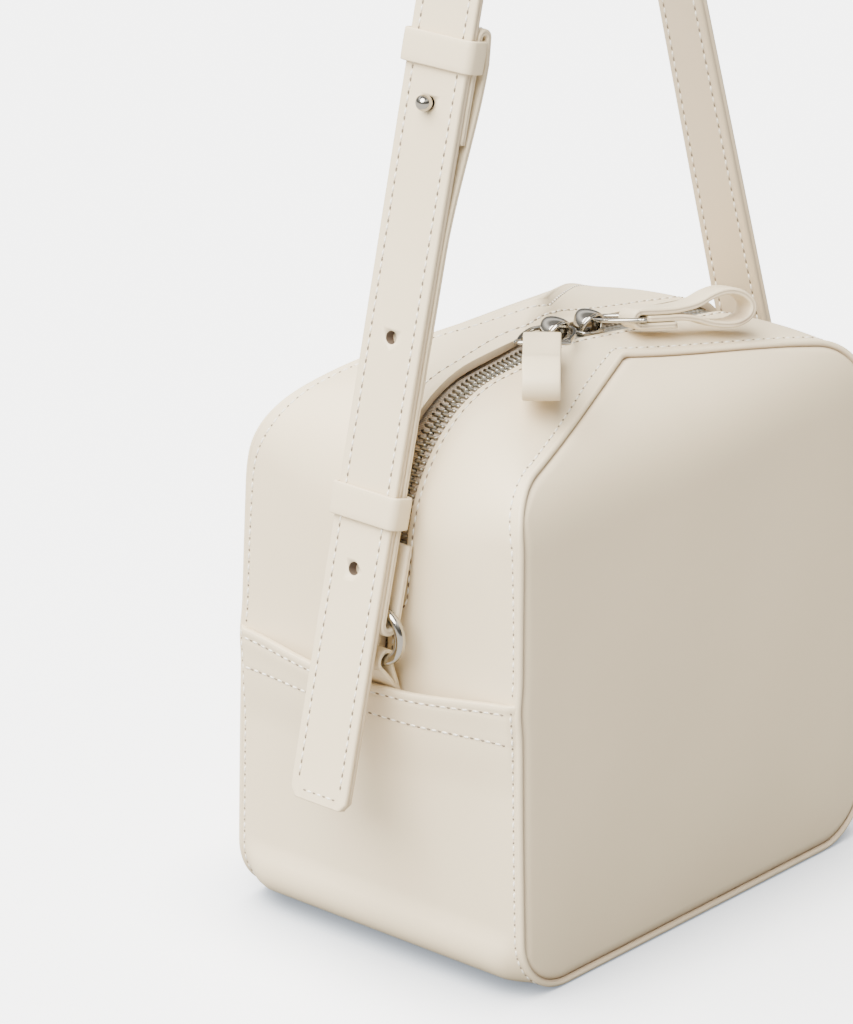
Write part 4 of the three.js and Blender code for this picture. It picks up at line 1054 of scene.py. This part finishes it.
# The pulls: each is one strip of calf, folded round its bail's bar, led out to a finger loop
# and glued back between its own layers. The cut edges are painted a shade darker.
pull_width = 12.9
pull_short_end = 13.0
pull_waist = 10.0
pull_path = [(16, 3.1), (21.5, 4.4), (27, 7.0), (32, 8.3), (37, 7.7), (40.8, 5.2), (42, 2.2), (40.5, -0.9),
             (36.5, -2.9), (31.5, -3.2), (26, -2.4), (21, -0.9), (15, 0)]
pull_tip_shade = 0.5
edge_paint = 0.55
strap_edge_paint = 0.3
# Painted shade on the long strap's inner face, towards the bag.
strap_inner_shade = 0.32
strip_corner = 0.7
strip_crown = 0.12
glue_line = 0.22
glue_line_half = 0.18
row_dip = 0.16
row_dip_reach = 0.9


def strip_section(width, thickness, crown=strip_crown, row=0.0, groove=glue_line):
    """Half-widths and half-heights round a strip: rounded corners, a dent under the stitches, a glue line."""
    half, high = width / 2, thickness / 2
    corner = min(strip_corner, high * 0.55)
    top = [(-half + corner * 0.3, high - corner * 0.25), (-half + corner, high)]
    if row:
        steps = (-row_dip_reach, 0, row_dip_reach)
        dents = [place + step for place in (row - half, half - row) for step in steps]
        for a in (*dents[:3], -half * 0.35, 0.0, half * 0.35, *dents[3:]):
            dip = row_dip if abs(abs(a) - (half - row)) < 0.01 else 0.0
            top.append((a, high + crown * (1 - (a / half) ** 2) - dip))
    else:
        top += [(a * half, high + crown * (1 - a * a)) for a in (-0.6, 0.0, 0.6)]
    top += [(half - corner, high), (half - corner * 0.3, high - corner * 0.25)]
    flank = [(half, high - corner), (half, glue_line_half), (half - groove, 0.0)]
    flank += [(half, -glue_line_half), (half, -high + corner)]
    bottom = [(a, -b) for a, b in reversed(top)]
    other = [(-a, -b) for a, b in flank]
    return np.array(top + flank + bottom + other)


def strip_shade(count, row=0.0, paint=edge_paint, inner_face_shade=0.0):
    """How far each point of a strip takes the tan: the paint on its cut edges, and painted shade on its inner
    face.
    """
    section = strip_section(10.0, 2.0, row=row)
    half = len(section) // 2
    shade = np.zeros(len(section))
    for first in (half - 5, 2 * half - 5):
        shade[first + 1:first + 4] = paint
    shade[section[:, 1] > 0] += inner_face_shade
    return np.tile(shade, (count, 1))


def strip(centre, across, width, thickness, **shape):
    """A strap or strip through centre points, each with its direction across."""
    centre = np.asarray(centre, float)
    along = unit(np.gradient(centre, axis=0))
    across = unit(np.broadcast_to(across, centre.shape))
    normal = unit(np.cross(across, along))
    width = np.broadcast_to(width, len(centre))
    thickness = np.broadcast_to(thickness, len(centre))
    rings = []
    for c, a, n, w, t in zip(centre, across, normal, width, thickness):
        section = strip_section(w, t, **shape)
        rings.append(c + section[:, :1] * a + section[:, 1:] * n)
    return loft(rings)


pull_pitch = pull_thickness + pull_gap
for name, entry in pulls.items():
    root, along, across, up = pull_frame(entry)
    wrap = np.radians(np.linspace(-90, -270, 13))
    path = [(pull_short_end, -pull_pitch), (pull_short_end / 2, -pull_pitch)]
    path += [(pull_pitch * math.cos(a), pull_pitch * math.sin(a)) for a in wrap]
    path += [(pull_waist, pull_pitch), *pull_path, (pull_waist, 0)]
    path += [(bail_wire + pull_gap + pull_thickness / 2, 0)]
    path = catmull(np.array(path), 4)
    centre = root + path[:, :1] * along + path[:, 1:] * up
    tip_shade = pull_tip_shade * smooth(33, 39, path[:, :1]) * smooth(2.5, -2.5, path[:, 1:])
    make_piece(f"pull_strap_{name}", strip(centre, across, pull_width, pull_thickness), cream_calf,
               [f"pull_{name}"], shade_and_edge_paint=strip_shade(len(centre)) + tip_shade)


# The long strap: two layers of calf glued and stitched along both edges, with painted edges.
# It runs from its free end up the left side, over the crown and down to the right ring.
strap_width = 25.0
strap_thickness = 3.6
short_thickness = 2.4
strap_y = -4.0
crown_radius = 30.0
crown_at = np.array([-5.0, 424.5])
lower_keeper = np.array([-101.4, 167.6])
upper_keeper_height = 153.0
stud_height = upper_keeper_height - 17.5
hole_count = 3
hole_pitch = 78.6
hole_radius = 2.3
drill_length = 12.0
# The punched holes' walls are dark brown: painted shade inside the holes.
hole_wall_shade_light = (0.17, 0.12, 0.08)
hole_wall_shade_dark = (0.10, 0.07, 0.05)
row_start = 4
row_stop = 6
tail_length = 103.0
tail_taper = 4.5
tail_round = 3.0
left_turn = -6.0
right_turn = 20.0
knee_turn = 6.0
right_foot = np.array([106.0, 130.0])
right_bend = np.array([105.2, 156.0])
right_knee = np.array([95.8, 187.0])
right_loop_thickness = 2.2
right_leg_steps = 24
ring_half_length = 17.5
ring_half_height = 10.7
ring_wire = 1.8
ring_level = 123.5
ring_room = 0.6
ring_return = 26.0
strap_row = 3.3
leather_gap = 0.3
thread_sink = 0.02

to_crown = crown_at - lower_keeper
left_lean = math.atan2(to_crown[0], to_crown[1]) - math.asin(crown_radius / np.linalg.norm(to_crown))
leg_length = math.sqrt(to_crown @ to_crown - crown_radius ** 2)


def leg_point(along, inward, y=0.0):
    """A place on the strap's left leg: along it from the lower keeper, and in towards the bag."""
    c, s = math.cos(left_lean), math.sin(left_lean)
    along, inward, y = np.broadcast_arrays(along, inward, y)
    x = lower_keeper[0] + s * along + c * inward
    return np.stack([x, strap_y + y, lower_keeper[1] + c * along - s * inward], axis=-1)


def across_strap(centre, turn):
    """The strap's direction across, turned about the vertical by an angle in degrees."""
    along = unit(np.gradient(centre, axis=0))
    turn = np.radians(np.broadcast_to(turn, len(centre)))
    flat_way = np.stack([np.sin(turn), np.cos(turn), 0 * turn], axis=1)
    normal = unit(np.cross(flat_way, along))
    return np.cross(along, normal)


def arc(centre, radius, start, end, count):
    angle = np.linspace(start, end, count + 1)
    return np.asarray(centre) + radius * np.stack([np.cos(angle), np.sin(angle)], axis=1)


def wire_rise(half_width):
    """How far the ring's rounded end carries its wire up at a strip's edge."""
    radius = ring_half_height - 2 * ring_wire - 0.3
    past = max(half_width - (ring_half_length - ring_half_height), 0)
    return radius - math.sqrt(radius ** 2 - past ** 2)


def stitch_lines(centre, across, half_width, half_thickness):
    """The two stitch lines on each face of a strap."""
    normal = unit(np.cross(across, unit(np.gradient(centre, axis=0))))
    lines = []
    for face_sign in (1, -1):
        for edge_sign in (1, -1):
            lines.append(centre + across * np.reshape(edge_sign * (half_width - strap_row), (-1, 1))
                         + normal * np.reshape(face_sign * half_thickness, (-1, 1)))
    return lines


top_wire = ring_level + ring_half_height - ring_wire
bottom_wire = ring_level - ring_half_height + ring_wire
short_offset = strap_thickness / 2 + leather_gap + short_thickness / 2
wire_offset = short_offset + short_thickness / 2 + ring_room + ring_wire
wire_along = (top_wire - lower_keeper[1] + wire_offset * math.sin(left_lean)) / math.cos(left_lean)
left_ring_x = leg_point(wire_along, wire_offset)[0]
wrap_radius = ring_wire + leather_gap + right_loop_thickness / 2
right_ring_x = right_foot[0] - wrap_radius

tail = np.array([0, 0.5, 1.4, tail_round]) - tail_length
heights = np.concatenate([tail, np.linspace(2 * tail_round - tail_length, leg_length - 2, 90)])
left_leg = leg_point(heights, 0)
left_width = strap_width - tail_taper * (1 - smooth(0, tail_round, heights + tail_length))
over_flat = lambda p: np.stack([p[:, 0], np.full(len(p), strap_y), p[:, 1]], axis=1)
span = crown_at - right_knee
right_lean = math.atan2(-span[0], span[1]) - math.asin(crown_radius / np.linalg.norm(span))
over = arc(crown_at, crown_radius, math.pi - left_lean, right_lean, 40)
right_leg = line(over[-1], right_knee, right_leg_steps)
wrap_level = top_wire - wire_rise(strap_width / 2)
wrap_centre = np.array([right_foot[0] - wrap_radius, wrap_level])
bend_places = [right_leg[17], right_knee, right_bend, right_foot, (right_foot[0], wrap_level)]
bend = catmull(np.array(bend_places), 8)[9:]
ring_wrap = arc(wrap_centre, wrap_radius, 0, -math.pi, 14)[1:]
right_return = line(ring_wrap[-1], ring_wrap[-1] + [0, ring_return], 8)
looped = len(ring_wrap) + len(right_return)
right_side = np.concatenate([over, right_leg, bend, ring_wrap, right_return])
strap_centre = np.concatenate([left_leg, over_flat(right_side)])
turn = np.concatenate([left_turn * smooth(0, leg_length, heights),
                       np.linspace(left_turn, right_turn, len(over)),
                       np.linspace(right_turn, knee_turn, right_leg_steps),
                       np.linspace(knee_turn, 0, len(bend)), np.zeros(looped)])
thickness = np.concatenate([np.full(len(heights) + len(over) + right_leg_steps, strap_thickness),
                            np.linspace(strap_thickness, right_loop_thickness, len(bend)),
                            np.full(looped, right_loop_thickness)])
width = np.concatenate([left_width, np.full(len(right_side), strap_width)])
strap_across = across_strap(strap_centre, turn)
# The strap's inner face takes painted shade, and its cut edges take their paint.
long_strap = make_piece("strap_long_calf", strip(strap_centre, strap_across, width, thickness, row=strap_row),
                        cream_calf, ["strap_long"],
                        shade_and_edge_paint=strip_shade(len(strap_centre), strap_row, strap_edge_paint, strap_inner_shade))


def punch(strap, finish):
    """The holes that let the stud through: cut out with round drills whose dark finish stays on the walls as
    painted shade.
    """
    drills = []
    for i in range(hole_count):
        bpy.ops.mesh.primitive_cylinder_add(vertices=32, radius=hole_radius / 1000,
                                            depth=drill_length / 1000)
        drill = bpy.context.object
        spot = (leg_point(stud_height - i * hole_pitch, 0) + base_from_origin) / 1000
        drill.data.transform(Euler((0, math.pi / 2 + left_lean, 0)).to_matrix().to_4x4())
        drill.data.transform(Matrix.Translation(spot))
        drill.data.materials.append(finish)
        drills.append(drill)
        cut = strap.modifiers.new("punched_hole", "BOOLEAN")
        cut.operation = "DIFFERENCE"
        cut.object = drill
        cut.solver = "EXACT"
        cut.material_mode = "TRANSFER"
    finished_mesh(strap)
    for drill in drills:
        bpy.data.objects.remove(drill)


punch(long_strap, leather_finish("hole_wall_shade", hole_wall_shade_light, hole_wall_shade_dark, roughness=0.7))

run_end = len(strap_centre) - looped - row_stop
strap_lines = stitch_lines(strap_centre, strap_across, width / 2, thickness / 2 - thread_sink)
strap_rows = [path[row_start:run_end] for path in strap_lines]
tail_reach = np.linspace(strap_row - strap_width / 2, strap_width / 2 - strap_row, 12)
for face_sign in (1, -1):
    face = face_sign * (strap_thickness / 2 - thread_sink)
    strap_rows.append(leg_point(strap_row - tail_length, face, tail_reach))
stitched("strap_long", strap_rows)


# The short strap: it holds the ring at its foot and runs up behind the long strap. At its head it
# moves out and folds over the upper keeper's strand, and the stud goes through its returned end.
keeper_thickness = 1.6
keeper_band = 11.0
fold_return = 35.0
fold_ramp = 64.0
fold_ramp_top = 8.0
fold_bow = 1.1
strand = keeper_thickness / 2 + leather_gap + short_thickness / 2
fold_along = upper_keeper_height + keeper_band / 2 + leather_gap
short_wrap = short_thickness / 2 + ring_room + ring_wire
wrap_along = wire_along - wire_rise(strap_width / 2)
foot_arc = arc((wire_offset, wrap_along), short_wrap, 0, -math.pi, 14)
head_arc = arc((short_offset + strand, fold_along), strand, 0, math.pi, 12)
ramp_top = fold_along - fold_ramp_top
ramp_share = np.linspace(0, 1, 33)
ramp_out = (2 * strand + fold_bow) * smooth(0, 1, ramp_share)
ramp = np.stack([short_offset + ramp_out, ramp_top - fold_ramp * (1 - ramp_share)], axis=1)
foot_side = wire_offset + short_wrap
foot_end = (foot_side, wrap_along + ring_return)
short_path = np.concatenate([
    [foot_end], line(foot_end, (foot_side, wrap_along + 3), 8), foot_arc,
    line(foot_arc[-1], ramp[0], 50)[:-1], ramp, line(ramp[-1], head_arc[0], 6)[:-1], head_arc,
    line(head_arc[-1], (short_offset, fold_along - fold_return), 16),
])
short_centre = leg_point(short_path[:, 1], short_path[:, 0])
short_turn = left_turn * smooth(0, leg_length, short_path[:, 1])
short_across = across_strap(short_centre, short_turn)
make_piece("strap_short_calf", strip(short_centre, short_across, strap_width, short_thickness, row=strap_row),
           cream_calf, ["strap_short"], shade_and_edge_paint=strip_shade(len(short_centre), strap_row, strap_edge_paint))
short_lines = stitch_lines(short_centre, short_across, strap_width / 2, short_thickness / 2)
stitched("strap_short", [path[26:-1] for path in short_lines])


# The keepers: two closed bands of calf round the strap, skived thin and joined behind.
keeper_side_room = 0.6
keeper_corner = 1.3
keeper_crown = 0.1


def keeper_loop():
    """The keeper's middle line round both straps, as inward and sideways."""
    low = -strap_thickness / 2 - leather_gap + keeper_corner
    high = short_offset + short_thickness / 2 + leather_gap - keeper_corner
    reach = strap_width / 2 + keeper_side_room - keeper_corner
    radius = keeper_corner + keeper_thickness / 2
    corners = []
    for x, y, start in ((high, reach, 0), (low, reach, 90), (low, -reach, 180), (high, -reach, 270)):
        corners.append(arc((x, y), radius, math.radians(start), math.radians(start + 90), 6))
    return np.concatenate(corners)


for name, height in (("upper", upper_keeper_height), ("lower", 0.0)):
    loop = keeper_loop()
    turn = math.radians(-left_turn * smooth(0, leg_length, height))
    c, s = math.cos(turn), math.sin(turn)
    loop = np.stack([loop[:, 0] * c - loop[:, 1] * s, loop[:, 0] * s + loop[:, 1] * c], axis=1)
    outward = unit(np.stack([np.gradient(loop[:, 1]), -np.gradient(loop[:, 0])], axis=1))
    section = strip_section(keeper_band, keeper_thickness, crown=keeper_crown, groove=0.0)
    rings = []
    for p, n in zip(loop, outward):
        rings.append([leg_point(height + a, p[0] + n[0] * b, p[1] + n[1] * b) for a, b in section])
    make_piece(f"keeper_band_{name}", loft(rings, loop=True), cream_calf, [f"keeper_{name}"])


# The stud: a turned and polished ball on a neck, riveted through the short strap.
# It stands through one of the long strap's punched holes and holds it there.
ball = 2.9
neck = 1.3
back_plate = 4.0
plate_thickness = 1.0
plate_edge = 0.3
ball_at = -strap_thickness / 2 - ball + 0.2
plate_at = short_offset + short_thickness / 2 + leather_gap
plate_top = plate_at + plate_thickness
stud_outline = [(0.01, plate_top), (back_plate - plate_edge, plate_top), (back_plate, plate_top - plate_edge),
                (back_plate, plate_at), (neck, plate_at), (neck, ball_at + ball * 0.9)]
ball_turns = np.linspace(0.47, math.pi - 0.01, 18)
stud_outline += [(ball * math.sin(a), ball_at + ball * math.cos(a)) for a in ball_turns]
around = np.linspace(0, 2 * math.pi, 32, endpoint=False)
stud_rings = [leg_point(stud_height + r * np.sin(around), x, r * np.cos(around)) for r, x in stud_outline]
make_piece("stud_ball", loft(stud_rings), polished_nickel, ["strap_stud"])


# The rings: oval nickel wire, closed, one at each end of the bag.
for name, x in (("left", left_ring_x), ("right", right_ring_x)):
    straight = ring_half_length - ring_half_height
    radius = ring_half_height - ring_wire
    oval = np.concatenate([arc((straight, ring_level), radius, -math.pi / 2, math.pi / 2, 20),
                           arc((-straight, ring_level), radius, math.pi / 2, 1.5 * math.pi, 20)])
    wire = np.stack([np.full(len(oval), x), strap_y + oval[:, 0], oval[:, 1]], axis=1)
    make_piece(f"ring_wire_{name}", tube(wire, ring_wire, loop=True, sides_round=16, up=(1, 0, 0)),
               polished_nickel, [f"ring_{name}"])


# The tabs: a strip of calf folded round each ring's lower wire and sewn down behind the belt.
tab_width = 19.0
tab_layer = 1.35
tab_depth = 10.0
tab_loop = (-50, 215)
seat_x = zip_belt_half + leather / 2 + placket_rise + 0.6
for name, sign, ring_x in (("left", -1, left_ring_x), ("right", 1, right_ring_x)):
    bore = ring_wire + leather_gap + wire_rise(tab_width / 2)
    centre = np.array([abs(ring_x), bottom_wire])
    inner, outer = seat_x + tab_layer / 2, seat_x + tab_layer * 1.5
    loop_arc = arc(centre, bore + tab_layer / 2, *np.radians(tab_loop), 24)
    path = np.concatenate([line((outer, zip_foot - tab_depth), (outer + 0.2, zip_foot), 3),
                           loop_arc[loop_arc[:, 0] > inner],
                           line((inner, zip_foot + 1), (inner, zip_foot - tab_depth), 3)])
    path = catmull(path, 2)
    tab_centre = np.stack([sign * path[:, 0], np.full(len(path), strap_y), path[:, 1]], axis=1)
    make_piece(f"tab_fold_{name}", strip(tab_centre, (0, 1, 0), tab_width, tab_layer), cream_calf,
               [f"tab_{name}"])
